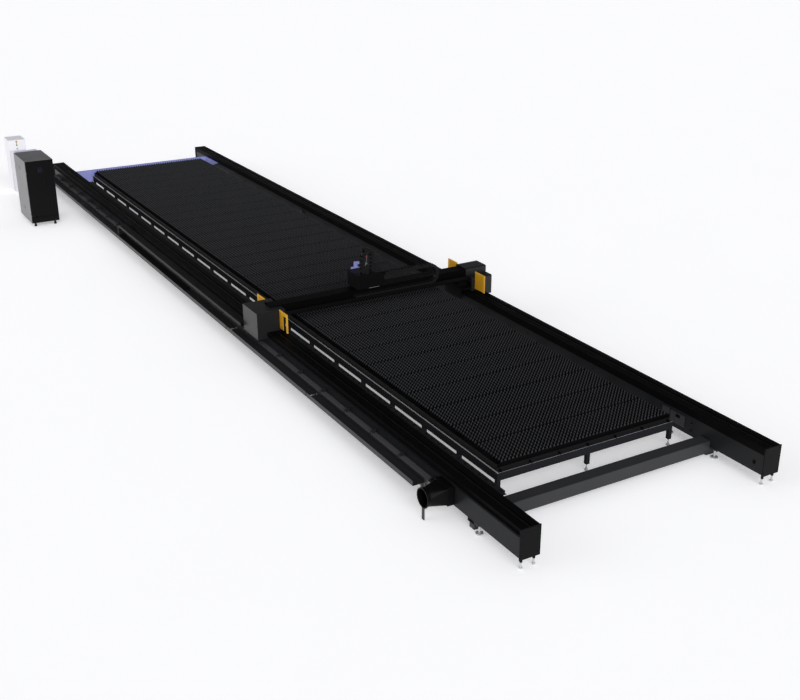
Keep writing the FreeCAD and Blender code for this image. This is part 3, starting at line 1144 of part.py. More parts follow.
def stop_button():
    """Mushroom button on a plunger through the cabinet's front."""
    plunger = Part.makeCylinder(STOP_RADIUS * 0.5, STOP_OUT + 20, V(STOP_X, CONTROL_Y0 - STOP_OUT, STOP_Z), V(0, 1, 0))
    cap = along_y(many_sided(STOP_RADIUS, STOP_X, STOP_Z), CONTROL_Y0 - STOP_OUT, CONTROL_Y0 - STOP_STROKE - 2)
    return plunger.fuse(cap).removeSplitter()


# ---------------------------------------------------------------- the parts
def parts():
    made = {
        "bed_beams": one_node([mirrored_x(bed_beam()), bed_beam()]),
        "bed_caps": one_node([mirrored_x(bed_cap()), bed_cap()]),
        "guide_rails": one_node([guide_rail(), mirrored_x(guide_rail())]),
        "gear_racks": one_node([rack(), mirrored_x(rack())]),
        "bed_end_plates": end_plates(),
        "inner_ledge": inner_ledge(),
        "near_cross_beam": near_cross_beam(),
        "far_cross_beam": far_cross_beam(),
        "bed_feet": bed_feet(),
        "bed_foot_brackets": foot_brackets(),
        "table_frame": table_frame(),
        "table_feet": table_feet(),
        "slat_carriers": slat_carriers(),
        "duct_body": duct_body(),
        "duct_flanges": duct_flanges(),
        "duct_outlet": duct_outlet(),
        "outlet_branch": outlet_branch(),
        "outlet_spigot": outlet_spigot(),
        "duct_and_tray_supports": duct_and_tray_supports(),
        "chain_tray": chain_tray(),
        "long_chain_lower_run": long_chain_lower_run(),
        "long_chain_upper_run": long_chain_upper_run(),
        "long_chain_bend": long_chain_bend(),
        "gantry_beam": gantry_beam(),
        "gantry_tray": gantry_tray(),
        "beam_guides": beam_guides(),
        "carriage_bases": carriage_bases(),
        "guide_blocks": guide_blocks(),
        "drive_motors": drive_motors(),
        "left_pinion": pinion(-1),
        "right_pinion": pinion(1),
        "left_cover": left_cover(),
        "right_covers": one_node([right_outer_cover(), right_hood()]),
        "guard_plates": guard_plates(),
        "saddle": saddle(),
        "head_housing": head_housing(),
        "z_axis_unit": z_axis_unit(),
        "z_slide": z_slide(),
        "cutting_head": cutting_head(),
        "head_bow": head_bow(),
        "bow_fixed_leg": bow_leg(BOW_FIXED_X, HEAD_TOP),
        "bow_moving_leg": bow_leg(BOW_MOVING_X, Z_SLIDE_BOTTOM + Z_ARM_UP + Z_ARM),
        "beam_chain_lower_run": beam_chain_run(BEAM_CHAIN_FIXED_X, BEAM_CHAIN_BOTTOM - RUN_GAP,
                                               BEAM_CHAIN_BOTTOM + BEAM_CHAIN_HEIGHT),
        "beam_chain_upper_run": beam_chain_run(HEAD_RIGHT, BEAM_CHAIN_TOP - BEAM_CHAIN_HEIGHT, BEAM_CHAIN_TOP),
        "beam_chain_bend": beam_chain_bend(),
        "cabinet_body": cabinet_body(),
        "cabinet_feet": cabinet_feet(),
        "cabinet_cooler": cabinet_cooler(),
        "cabinet_door": cabinet_door(),
        "cabinet_screen": cabinet_screen(),
        "door_handle": door_handle(),
        "key_switch": key_switch(),
        "control_cabinet_body": control_cabinet_body(),
        "control_cabinet_door": control_cabinet_door(),
        "signal_lamps": signal_lamps(),
        "stop_button": stop_button(),
    }
    for group in range(SLAT_GROUP_COUNT):
        made["slats_%d" % (group + 1)] = slats(group)
    return made


os.makedirs("parts", exist_ok=True)
for name, shape in parts().items():
    shape.translate(-ORIGIN)
    shape.exportStep("parts/%s.step" % name)
    print("%-24s solids %3d  valid %s  volume %.4f m3" % (name, len(shape.Solids), shape.isValid(), shape.Volume / 1e9))
print("origin", ORIGIN)
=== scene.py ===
# %% [markdown]
# # A gantry laser cutting machine, dressed for its portrait
#
# The machine comes in as plain CAD solids, all in metres and in one shared frame: +Y runs along the bed,
# +X across it and +Z up. This lesson sets the camera, paints every solid, and then replaces or adds the
# pieces that a quick stand-in lacks: toothed slats, cable chains made of links, screws, lamps and grilles.

# %% Load the CAD
import math

import bpy
import bmesh
from mathutils import Matrix, Vector
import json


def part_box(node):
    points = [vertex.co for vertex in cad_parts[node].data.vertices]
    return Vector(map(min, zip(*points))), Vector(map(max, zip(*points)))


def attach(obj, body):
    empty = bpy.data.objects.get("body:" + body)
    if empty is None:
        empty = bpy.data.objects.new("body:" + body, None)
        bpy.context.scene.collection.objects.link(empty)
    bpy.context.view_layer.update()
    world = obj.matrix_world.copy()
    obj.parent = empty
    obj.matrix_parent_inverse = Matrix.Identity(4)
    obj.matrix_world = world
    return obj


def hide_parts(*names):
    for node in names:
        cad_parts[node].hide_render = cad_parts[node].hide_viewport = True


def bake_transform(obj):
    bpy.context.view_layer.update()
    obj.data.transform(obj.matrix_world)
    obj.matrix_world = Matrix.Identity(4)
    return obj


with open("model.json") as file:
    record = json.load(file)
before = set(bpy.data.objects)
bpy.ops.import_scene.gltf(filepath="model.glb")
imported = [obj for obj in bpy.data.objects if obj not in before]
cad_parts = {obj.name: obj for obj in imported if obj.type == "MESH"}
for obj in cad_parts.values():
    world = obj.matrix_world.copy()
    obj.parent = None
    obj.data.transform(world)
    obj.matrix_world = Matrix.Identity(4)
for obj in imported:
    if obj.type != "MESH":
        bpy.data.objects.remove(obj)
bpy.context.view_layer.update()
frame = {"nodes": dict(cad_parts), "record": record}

# %% [markdown]
# ## Where things are
#
# Distances are easiest to read from the middle of the bed, but the shared frame has its origin in the middle
# of the whole footprint, cabinets included. `at` turns the first into the second. An empty in the middle of
# the bed could do that too, but then new pieces couldn't be set against the CAD's own coordinates, which
# `span` reads.

# %% Finding a place
BED_CENTRE = Vector((0.6815, -0.074, 0.0))


def at(x, y, z):
    """A point given from the middle of the bed, in the shared frame."""
    return BED_CENTRE + Vector((x, y, z))


def span(node):
    """Lowest and highest corner of a CAD node."""
    low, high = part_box(node)
    return Vector(low), Vector(high)


print("middle of the bed is at", tuple(BED_CENTRE))

# %% [markdown]
# ## Camera
#
# The photograph was taken from in front of the bed's near end, to its left and well above it. The lines along
# the bed and the lines across it give the direction, and the cabinet's height gives the distance. A camera
# could be moved by eye until it looks right, but edges that are parallel on the real machine leave less room
# for error.

# %% Camera
CAMERA_PLACE = (-9.505, -20.687, 7.955)
CAMERA_DIP = 22.7      # degrees below the horizon
CAMERA_TURN = -30.2    # degrees away from the bed's own direction
camera_data = bpy.data.cameras.new("camera")
camera_data.lens = 50.5
camera_data.sensor_width = 36.0
camera_data.clip_end = 200.0
camera = bpy.data.objects.new("camera", camera_data)
camera.location = at(*CAMERA_PLACE)
camera.rotation_euler = (math.radians(90 - CAMERA_DIP), 0.0, math.radians(CAMERA_TURN))
bpy.context.scene.collection.objects.link(camera)
bpy.context.scene.camera = camera
print("camera", tuple(round(v, 3) for v in camera.location))

# %% [markdown]
# ## Floor, backdrop and light
#
# The studio has a white floor, a white backdrop that stands a little above the horizon and a dim ceiling.
# So an upright black sheet, which mirrors the floor, is lighter than a flat one, which mirrors the ceiling.
# Wherever the camera itself looks, the background is white. Walls could be built for this, but they would
# stand in the way of the light, so the world answers each ray by its kind and its height instead.

# %% Colours and shader nodes
def linear(code):
    """An sRGB colour such as '1E1E20' as the linear colour that the shaders take."""
    channels = [int(code[i:i + 2], 16) / 255 for i in (0, 2, 4)]
    return tuple(c / 12.92 if c <= 0.04045 else ((c + 0.055) / 1.055) ** 2.4 for c in channels) + (1.0,)


def add(tree, kind, links=(), **values):
    """Add a shader node. Values set its sockets or properties; links are (output socket, own input) pairs."""
    node = tree.nodes.new("ShaderNode" + kind)
    for name, value in values.items():
        socket = node.inputs.get(name.replace("_", " "))
        if hasattr(node, name):
            setattr(node, name, value)
        else:
            socket.default_value = value
    for output, name in links:
        tree.links.new(output, node.inputs[name])
    return node


print("mid grey in linear light:", round(linear("808080")[0], 3))

# %% World
scene = bpy.context.scene
scene.view_settings.view_transform = "Standard"

world = bpy.data.worlds.new("studio")
world.use_nodes = True
scene.world = world
BACKDROP_TOP = 0.1     # sine of the height at which the backdrop ends
BACKDROP_FADE = 0.06   # how much higher it has faded into the ceiling
CEILING = 0.04         # how bright the ceiling is where something mirrors it
SKY = 0.42             # how bright the soft light from all round is
tree = world.node_tree
tree.nodes.clear()
ray = add(tree, "LightPath")
direction = add(tree, "TexCoord")
height = add(tree, "SeparateXYZ", [(direction.outputs["Generated"], "Vector")])
backdrop = add(tree, "MapRange", [(height.outputs["Z"], "Value")], From_Min=BACKDROP_TOP + BACKDROP_FADE,
               From_Max=BACKDROP_TOP)
mirrored = add(tree, "Math", [(ray.outputs["Is Glossy Ray"], 0), (backdrop.outputs["Result"], 1)],
               operation="MULTIPLY")
seen = add(tree, "Math", [(ray.outputs["Is Camera Ray"], 0), (mirrored.outputs[0], 1)], operation="MAXIMUM")
seen = add(tree, "Math", [(seen.outputs[0], 0), (ray.outputs["Is Transmission Ray"], 1)], operation="MAXIMUM")
dim = add(tree, "MapRange", [(ray.outputs["Is Glossy Ray"], "Value")], To_Min=SKY, To_Max=CEILING)
soft = add(tree, "Background", [(dim.outputs["Result"], "Strength")], Color=linear("F4F5F8"))
white = add(tree, "Background", Color=(1.0, 1.0, 1.0, 1.0), Strength=1.0)
mixed = add(tree, "MixShader", [(seen.outputs[0], 0), (soft.outputs[0], 1), (white.outputs[0], 2)])
add(tree, "OutputWorld", [(mixed.outputs[0], "Surface")])
print("world nodes:", len(tree.nodes))

# %% [markdown]
# The bed is over 22 m long, so lamps near one end would leave the other in the dark. Two suns light all of
# it alike: one from behind the camera and one from the left, for the long sides. They are wide, so that
# shadows on the floor stay soft.

# %% Suns
SUN_WIDTH = 50         # degrees
for name, place, strength in (("key", (-8, -30, 14), 2.4), ("side", (-30, 12, 7), 0.9)):
    lamp = bpy.data.lights.new(name, "SUN")
    lamp.energy = strength
    lamp.angle = math.radians(SUN_WIDTH)
    holder = bpy.data.objects.new(name, lamp)
    holder.location = at(*place)
    holder.rotation_euler = Vector(place).to_track_quat("Z", "Y").to_euler()
    scene.collection.objects.link(holder)
print("lights set")

# %% [markdown]
# ## Finishes
#
# No real coat is one flat colour. One function makes each finish from a base colour and a few numbers: broad
# patches mottle the colour and the roughness, a fine grit raises a bump, and the sharp CAD edges are rounded
# where light catches them. Pictures of paint could do it, but they would repeat along 22 m. The sizes of
# patches and grit are millimetres on the real surface. Real grit is far finer than 1 mm and wouldn't show
# from 20 m away, so it is drawn as coarse as it needs to show.

# %% One function for every finish
MM_PER_METRE = 1000.0
LEAST_ROUGH = 0.02     # keeps every surface short of a perfect mirror


def finish(name, colour, shade, rough, patch, spread=0.06, metal=0.0, shine=0.5, bump=0.04, grit=2.5,
           edge=0.003, glow=0.0):
    """A procedural finish. Patch and grit are in millimetres; spread is how far the roughness varies."""
    material = bpy.data.materials.new(name)
    material.use_nodes = True
    tree = material.node_tree
    tree.nodes.clear()
    place = add(tree, "TexCoord").outputs["Object"]
    mottle = add(tree, "TexNoise", [(place, "Vector")], Scale=MM_PER_METRE / patch, Detail=4.0, Roughness=0.6)
    tint = add(tree, "MixRGB", [(mottle.outputs["Fac"], "Fac")], Color1=linear(colour), Color2=linear(shade))
    rough_map = add(tree, "MapRange", [(mottle.outputs["Fac"], "Value")],
                    To_Min=max(rough - spread, LEAST_ROUGH), To_Max=rough + spread)
    fine = add(tree, "TexNoise", [(place, "Vector")], Scale=MM_PER_METRE / grit, Detail=2.0)
    rounded = add(tree, "Bevel", Radius=edge)
    relief = add(tree, "Bump", [(fine.outputs["Fac"], "Height"), (rounded.outputs[0], "Normal")],
                 Strength=bump, Distance=0.001)
    surface = add(tree, "BsdfPrincipled",
                  [(tint.outputs[0], "Base Color"), (rough_map.outputs[0], "Roughness"),
                   (relief.outputs[0], "Normal")], Metallic=metal, Specular_IOR_Level=shine)
    if glow:
        surface.inputs["Emission Color"].default_value = linear(colour)
        surface.inputs["Emission Strength"].default_value = glow
    add(tree, "OutputMaterial", [(surface.outputs[0], "Surface")])
    return material


print("finish() is ready; grit of 2.5 mm gives a noise scale of", MM_PER_METRE / 2.5)

# %% [markdown]
# ### Black powder coat
#
# Beams, covers and sheets are steel with a powder coat, baked on after it was sprayed. It flows into an even
# skin with no brush marks, so it is only a little clouded and shines broadly. One black could do for all, but
# then the pieces would run into each other, so each group has the shade and the sheen it shows.

# %% Black coats
FINISHES = {
    # end plates, carriage bases, head cover, cabinet door: black with a faint, broad sheen
    "gloss_black": finish("gloss_black_powder_coat", "0B0B0C", "08080A", 0.42, 333.3, shine=0.08,
                          bump=0.03),
    # flat tops of the bed and the gantry: almost no sheen, so they stay black
    "deep_black": finish("flat_black_powder_coat", "070708", "050506", 0.5, 333.3, shine=0.03, bump=0.03),
    # carriage covers: a smoother coat that mirrors the white floor a little
    "cover_black": finish("smooth_black_powder_coat", "1C1C1E", "161618", 0.36, 333.3, shine=0.3,
                          bump=0.03),
    # cable tray: a greyer black that catches more light
    "tray_black": finish("greyish_black_powder_coat", "28282A", "212123", 0.4, 200, shine=0.25),
    # thin sheet round the table: matt and even
    "skirt_black": finish("matt_black_powder_coat", "1C1C1D", "171718", 0.5, 333.3, shine=0.05, bump=0.03),
    # tube frame of the table, duct flanges: dull paint without a highlight, darkened as painted shade
    "dull_black_painted_shade": finish("dull_black_paint_with_painted_shade", "26272A", "202123", 0.6, 500, shine=0.0),
    # bed beams: painted plate, smoother than the frame
    "beam_paint": finish("satin_black_beam_paint", "1E1F21", "191A1C", 0.34, 500, shine=0.1),
}
print("finishes so far:", len(FINISHES))

# %% [markdown]
# ### Grey, white and coloured coats
#
# The same coat in other colours. Enamelled duct sheet is smoothest and mirrors most. The guards are safety
# yellow, and their rims are painted a lighter yellow: a painted highlight for the light that a folded edge
# catches.

# %% Grey, white and coloured coats
FINISHES |= {
    # near cross beam, foot brackets, duct supports: dark blue-grey satin
    "frame_grey": finish("dark_grey_powder_coat", "333436", "2B2C2E", 0.34, 500, shine=0.2),
    # power cabinet: smooth grey satin that goes pale towards the light
    "cabinet_grey": finish("grey_cabinet_coat", "5E5E60", "545456", 0.32, 333.3, shine=0.45, bump=0.03),
    # duct: enamelled sheet, the shiniest side of the bed
    "duct_panel": finish("grey_duct_enamel", "4E4E50", "464648", 0.26, 200, spread=0.05, shine=0.8,
                         bump=0.03),
    # painted highlight: a pale strip for the light on the top of the table's frame
    "painted_highlight_grey": finish("frame_top_painted_highlight", "9E9EA0", "929294", 0.45, 125, shine=0.3),
    # control cabinet's door: off-white satin
    "white_paint": finish("off_white_powder_coat", "D8D8DE", "D0D0D6", 0.4, 200, shine=0.4, bump=0.05),
    # its body: a painted glow, a trace of emission that keeps the shaded sides white
    "white_with_painted_glow": finish("white_powder_coat", "E4E4E8", "DEDEE2", 0.4, 200, shine=0.3, bump=0.05,
                           glow=0.05),
    # far cross beam and upright axis: satin lavender blue
    "lavender": finish("lavender_powder_coat", "9498D0", "8589C2", 0.42, 166.7, shine=0.2, bump=0.05),
    # cooler: the same hue, much paler
    "pale_lavender": finish("pale_lavender_powder_coat", "D2D2EA", "C8C8E0", 0.42, 166.7, shine=0.2,
                            bump=0.05),
    # guards: semi-gloss yellow
    "yellow": finish("safety_yellow_powder_coat", "CE9A24", "BE8A1A", 0.4, 125, shine=0.2, bump=0.05),
    # rims of the guards: the same coat, painted lighter as a highlight on the fold
    "yellow_rim_painted_highlight": finish("safety_yellow_rim_painted_highlight", "E2B040", "D6A232", 0.38, 125, shine=0.2, bump=0.05),
}
print("finishes so far:", len(FINISHES))

# %% [markdown]
# ### Bare metal
#
# Bare metal shows how it was made: mill steel is streaky, zinc plate bright, machined aluminium pale with a
# fine grain. A fully metallic shader would mirror the dim ceiling and go black, so a lower metallic value
# stands for the oil, soot and wear on it. The IOR stays at its default.

# %% Metals
FINISHES |= {
    # sensor rod, blank strip, flange screws: mid grey, uneven
    "bare_steel": finish("mill_finished_steel", "8E9094", "77797D", 0.38, 83.3, spread=0.1, metal=0.7,
                         bump=0.08),
    # rails, racks, screws: burnished black and lightly oiled, near black from afar
    "dark_steel": finish("oiled_burnished_steel", "121315", "0D0E0F", 0.45, 33.3, spread=0.08, metal=0.2,
                         shine=0.1, bump=0.05),
    # slats: dark grey sheet, with painted shade and soot blended in lower down, and edges too thin to be
    # rounded
    "slat_steel": finish("laser_cut_sheet_steel", "424346", "343538", 0.55, 111.1, spread=0.1,
                         shine=0.05, bump=0.06, edge=0.0005),
    # levelling feet and nuts: bright plate
    "chrome": finish("bright_zinc_plate", "CDCFD2", "BCBEC2", 0.2, 25, spread=0.05, metal=0.45, bump=0.02),
    # cutting head, z slide, base of the stop button: pale, with the fine grain of machining
    "cast": finish("machined_aluminium", "B9BBBE", "A2A4A8", 0.4, 12.5, spread=0.08, metal=0.9, bump=0.15),
}
print("finishes so far:", len(FINISHES))

# %% [markdown]
# ### Plastic and glass
#
# Chain links are moulded nylon, matt and faintly pebbled. The lamps are coloured plastic with a smooth skin;
# a shader that lets light through would need a lamp inside, so a little glow stands for it. The display is
# dark glass over a screen that is off.

# %% Plastic and glass
FINISHES |= {
    # chain links: matt, with the pebbled skin of the mould
    "chain_black": finish("moulded_black_nylon", "0E0E0F", "161618", 0.5, 25, shine=0.15, bump=0.12,
                          grit=1.111, edge=0.001),
    # top lens
    "lamp_plastic": finish("red_lens_plastic", "A8402A", "903420", 0.25, 100, shine=0.4, bump=0.02,
                           glow=0.1),
    # middle lens
    "yellow_lamp": finish("yellow_lens_plastic", "E8C23C", "DCB42E", 0.25, 100, shine=0.4, bump=0.02,
                          glow=0.1),
    # lowest lens
    "green_lamp": finish("green_lens_plastic", "3F9A5A", "348C4E", 0.25, 100, shine=0.4, bump=0.02,
                         glow=0.1),
    # cap of the sensor rod: glossy moulding
    "red_plastic": finish("gloss_red_plastic", "C8201A", "A81812", 0.3, 100, shine=0.4, bump=0.02),
    # screen: smooth glass with a sharp mirror image
    "screen_glass": finish("dark_display_glass", "070B16", "0A1020", 0.12, 500, spread=0.03, bump=0.01),
}
print("finishes so far:", len(FINISHES))

# %% [markdown]
# ### Painted shade and soot on the slats
#
# Lower down, the slats are painted black: painted shade for the shade between them, and soot from the smoke
# and spatter of cutting. Only their upper ends keep the grey of the sheet. The darker foot could be a second
# material, but a blend by height shows no hard line.

# %% Painted shade and soot
SHADE_SOOT_TOP = 0.55        # above this height a slat is clean
SHADE_SOOT_BOTTOM = 0.515    # below this height it is black


def shade_and_soot_below(material, clean, black):
    """Blacken a finish from height clean down to height black, as painted shade between slats and as soot."""
    tree = material.node_tree
    surface = next(node for node in tree.nodes if node.type == "BSDF_PRINCIPLED")
    tint = surface.inputs["Base Color"].links[0].from_socket
    place = add(tree, "TexCoord")
    height = add(tree, "SeparateXYZ", [(place.outputs["Object"], "Vector")])
    left = add(tree, "MapRange", [(height.outputs["Z"], "Value")], From_Min=black, From_Max=clean)
    # painted shade and soot: the near black that the slats fade to lower down
    mixed = add(tree, "MixRGB", [(left.outputs["Result"], "Fac"), (tint, "Color2")], Color1=linear("050506"))
    tree.links.new(mixed.outputs[0], surface.inputs["Base Color"])


# the slats get painted shade, with soot, below a height
shade_and_soot_below(FINISHES["slat_steel"], SHADE_SOOT_TOP, SHADE_SOOT_BOTTOM)
print("soot fades out over", round(SHADE_SOOT_TOP - SHADE_SOOT_BOTTOM, 3), "m")

# %% [markdown]
# ### Who wears what
#
# The record names a finish for each solid. That tells steel from paint, but not the sides of a black
# machine from each other, so some solids take one of their own.

# %% Dress the solids
# the table's frame and the duct flanges take a darker black as painted shade
OWN_FINISHES = {"table_frame": "dull_black_painted_shade", "bed_beams": "beam_paint", "key_switch": "dark_steel",
                "door_handle": "dark_steel", "guide_blocks": "dark_steel", "saddle": "dark_steel",
                "bed_caps": "deep_black", "gantry_beam": "deep_black", "left_cover": "cover_black",
                "right_covers": "cover_black", "cabinet_body": "cabinet_grey", "stop_button": "cast",
                "cabinet_cooler": "pale_lavender", "control_cabinet_body": "white_with_painted_glow",
                "duct_flanges": "dull_black_painted_shade", "duct_body": "duct_panel",
                "duct_outlet": "gloss_black", "outlet_branch": "gloss_black", "outlet_spigot": "gloss_black",
                "chain_tray": "tray_black"}
for entry in frame["record"]["subparts"]:
    solid = frame["nodes"][entry["node"]]
    solid.data.materials.clear()
    own = OWN_FINISHES.get(entry["node"], entry["material_slot"])
    solid.data.materials.append(FINISHES[own])

# %% [markdown]
# The floor is part of the studio, not of the machine. It is matt and nearly white, and a trace of glow keeps
# it white far away, while the machine's shadow still falls on it. It lies half a millimetre low, clear of the
# feet.

# %% Floor
floor_mesh = bpy.data.meshes.new("floor")
floor_mesh.from_pydata([(-90, -70, 0), (90, -70, 0), (90, 110, 0), (-90, 110, 0)], [], [(0, 1, 2, 3)])
floor = bpy.data.objects.new("floor", floor_mesh)
floor.location.z = -0.0005
floor_mesh.materials.append(finish("white_floor_paint", "F2F2F3", "EFEFF1", 0.8, 3333.3, shine=0.0, bump=0.0,
                                  glow=0.34))
scene.collection.objects.link(floor)
print("floor laid")

# %% [markdown]
# ## Making a piece
#
# Objects could be made one by one with primitives and joined, but hundreds of slats and links would be slow.
# So every new piece is built in one bmesh, then gets its finish and rides on the body that carries it. A
# piece that stands for CAD solids replaces them.

# %% Making a piece
SMOOTH_BELOW = 35      # degrees: sharper edges stay sharp


def piece(name, build, slot, body, nodes=(), smooth=False, material=None):
    """Run a build function on a new bmesh and make a piece of the result."""
    bm = bmesh.new()
    build(bm)
    bmesh.ops.recalc_face_normals(bm, faces=bm.faces)
    mesh = bpy.data.meshes.new(name)
    bm.to_mesh(mesh)
    bm.free()
    mesh.materials.append(material or FINISHES[slot])
    if smooth:
        mesh.shade_smooth()
        mesh.set_sharp_from_angle(angle=math.radians(SMOOTH_BELOW))
    made = bpy.data.objects.new(name, mesh)
    scene.collection.objects.link(made)
    if nodes:
        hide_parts(*nodes)
    if body:
        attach(made, body)
    return made


print("pieces can be made; CAD nodes:", len(frame["nodes"]))

# %% [markdown]
# ## Toothed slats
#
# The CAD slats are plain bars. The real ones are cut from sheet with a row of teeth along the top, so that
# the work rests on points and the beam passes between them. Teeth could be cut out of 300 bars with a
# boolean each, but one outline, given two faces 4 mm apart, is quicker and cleaner. The slats come in panels
# of ten, with a slightly wider gap between two panels.

# %% One slat
SLAT_SHEET = 0.004
TOOTH_PITCH = 0.065
TOOTH_DEPTH = 0.055
TOOTH_TIP = 0.12       # flat tip, as a part of the pitch


def toothed_slat(bm, low, high):
    """One slat: a band with a tooth on every pitch."""
    count = int((high.x - low.x) / TOOTH_PITCH) - 1
    start = low.x + (high.x - low.x - count * TOOTH_PITCH) / 2
    root = high.z - TOOTH_DEPTH
    top = [(low.x, root)]
    for k in range(count):
        x = start + k * TOOTH_PITCH
        top += [(x, root), (x + TOOTH_PITCH * (0.5 - TOOTH_TIP / 2), high.z),
                (x + TOOTH_PITCH * (0.5 + TOOTH_TIP / 2), high.z)]
    top += [(start + count * TOOTH_PITCH, root), (high.x, root)]
    rows = []
    for y in (low.y, high.y):
        upper = [bm.verts.new((x, y, z)) for x, z in top]
        lower = [bm.verts.new((x, y, low.z)) for x in (low.x, high.x)]
        bm.faces.new([lower[1]] + upper[::-1] + [lower[0]])
        rows.append((upper, lower))
    (upper_a, lower_a), (upper_b, lower_b) = rows
    for k in range(len(top) - 1):
        bm.faces.new((upper_a[k], upper_a[k + 1], upper_b[k + 1], upper_b[k]))
    bm.faces.new((lower_a[0], lower_a[1], lower_b[1], lower_b[0]))
    bm.faces.new((lower_a[0], upper_a[0], upper_b[0], lower_b[0]))
    bm.faces.new((lower_a[1], upper_a[-1], upper_b[-1], lower_b[1]))


print("tooth pitch and depth:", TOOTH_PITCH, TOOTH_DEPTH)

# %% Four groups of slats
SLATS_PER_NODE = 75
PANEL_SLATS = 10
PANEL_GAP = 0.022      # what the gap between two panels has more than the others
for group, node in enumerate(("slats_1", "slats_2", "slats_3", "slats_4")):
    low, high = span(node)
    pitch = (high.y - low.y - SLAT_SHEET) / (SLATS_PER_NODE - 1)

    def build(bm):
        for k in range(SLATS_PER_NODE):
            place = (group * SLATS_PER_NODE + k) % PANEL_SLATS
            shift = PANEL_GAP * (0.5 - (place + 0.5) / PANEL_SLATS)
            y = min(max(low.y + k * pitch + shift, low.y), high.y - SLAT_SHEET)
            toothed_slat(bm, Vector((low.x, y, low.z)), Vector((high.x, y + SLAT_SHEET, high.z)))

    piece("toothed_" + node, build, "slat_steel", "machine", [node])
print("slat pitch", round(pitch, 4))

# %% [markdown]
# ## Cable chains
#
# A cable chain is a row of links: two side plates that overlap the next link's, and a bar across the top and
# the bottom, moulded in nylon. An array along a curve would bend the plates themselves, so each link is built
# at the origin and set, stiff, on places worked out along the straight runs and round the bends. Two forms
# are enough for it, a box and a prism.

# %% Box and prism
def box_form(bm, low, high, round_off=0.0):
    """A box between two corners, with bevelled edges if asked."""
    low, high = Vector(low), Vector(high)
    made = bmesh.ops.create_cube(bm, size=1.0)["verts"]
    for vertex in made:
        vertex.co = Vector(low[i] + (vertex.co[i] + 0.5) * (high[i] - low[i]) for i in range(3))
    if round_off:
        edges = list({edge for vertex in made for edge in vertex.link_edges})
        bmesh.ops.bevel(bm, geom=edges, offset=round_off, segments=2, affect="EDGES", profile=0.5)


def prism_form(bm, outline, origin, u_axis, v_axis, depth):
    """A prism: the outline's (u, v) points in the plane of two axes, pushed along their normal by depth."""
    u_axis, v_axis, origin = Vector(u_axis), Vector(v_axis), Vector(origin)
    push = u_axis.cross(v_axis) * depth
    near = [bm.verts.new(origin + u_axis * u + v_axis * v) for u, v in outline]
    far = [bm.verts.new(vertex.co + push) for vertex in near]
    bm.faces.new(near[::-1])
    bm.faces.new(far)
    for k in range(len(near)):
        n = (k + 1) % len(near)
        bm.faces.new((near[k], near[n], far[n], far[k]))


print("forms for flat pieces are ready")

# %% One link
PLATE = 0.007
BAR = 0.006
CORNER = 0.22          # cut corner of a plate, as a part of its height
BACK, FRONT = 0.56, 0.44   # reach of a plate behind and ahead of its place, as parts of the pitch
BAR_REACH = 0.3        # the same for the bars, both ways


def chain_link(bm, place, pitch, height, width):
    """One link, about the origin of place: x along the chain, y across it, z through its height."""
    half, cut = height / 2, height * CORNER
    back, front = -pitch * BACK, pitch * FRONT
    outline = [(back + cut, -half), (front - cut * 0.4, -half), (front, -half + cut), (front, half - cut),
               (front - cut * 0.4, half), (back + cut, half), (back, half - cut), (back, -half + cut)]
    start = len(bm.verts)
    for y in (-width / 2, width / 2 - PLATE):
        prism_form(bm, outline, (0, y + PLATE, 0), (1, 0, 0), (0, 0, 1), PLATE)
    for z in (-half + BAR * 0.7, half - BAR * 1.7):
        box_form(bm, (-pitch * BAR_REACH, -width / 2 + PLATE, z),
                 (pitch * BAR_REACH, width / 2 - PLATE, z + BAR))
    bm.verts.ensure_lookup_table()
    for vertex in bm.verts[start:]:
        vertex.co = place @ vertex.co


def chain_piece(name, node, places, pitch, height, width, body):
    """One link on each place, instead of a CAD node."""
    def build(bm):
        for place in places:
            chain_link(bm, place, pitch, height, width)
    return piece(name, build, "chain_black", body, [node])


print("a link is", PLATE, "m thick at its plates and", BAR, "m at its bars")

# %% Straight runs
def straight(begin, end, up, count):
    """Places of count links along a straight run."""
    along = Vector(end) - Vector(begin)
    x = along.normalized()
    z = Vector(up)
    y = z.cross(x)
    turn = Matrix((x, y, z)).transposed().to_4x4()
    return [Matrix.Translation(Vector(begin) + along * (k + 0.5) / count) @ turn for k in range(count)]


def run_piece(node, axis, pitch_wanted):
    """Links in place of a straight CAD run, along the axis with that number."""
    low, high = span(node)
    middle = (low + high) / 2
    begin, end = middle.copy(), middle.copy()
    begin[axis], end[axis] = low[axis], high[axis]
    count = max(1, round((end - begin).length / pitch_wanted))
    thin = 2 if axis < 2 else 0
    wide = 3 - axis - thin
    up = Vector((0, 0, 0))
    up[thin] = 1
    size = high - low
    return chain_piece(node + "_links", node, straight(begin, end, up, count), (end - begin).length / count,
                       size[thin], size[wide], None)


LONG_PITCH, BEAM_PITCH, BOW_PITCH = 0.078, 0.075, 0.08
long_lower = run_piece("long_chain_lower_run", 1, LONG_PITCH)
long_upper = run_piece("long_chain_upper_run", 1, LONG_PITCH)
beam_lower = run_piece("beam_chain_lower_run", 0, BEAM_PITCH)
beam_upper = run_piece("beam_chain_upper_run", 0, BEAM_PITCH)
bow_fixed = run_piece("bow_fixed_leg", 2, BOW_PITCH)
bow_moving = run_piece("bow_moving_leg", 2, BOW_PITCH)
print("chain runs:", len(long_upper.data.polygons), "faces in the longest")

# %% [markdown]
# A run's length changes as the bend rolls along, and real links pass from the run into the bend one by
# one, which a mesh can't do. Here each run's place is only baked into its mesh: the end at the fixed clamp
# and the end that meets the bend are worked out, but nothing uses them, so the runs don't follow.

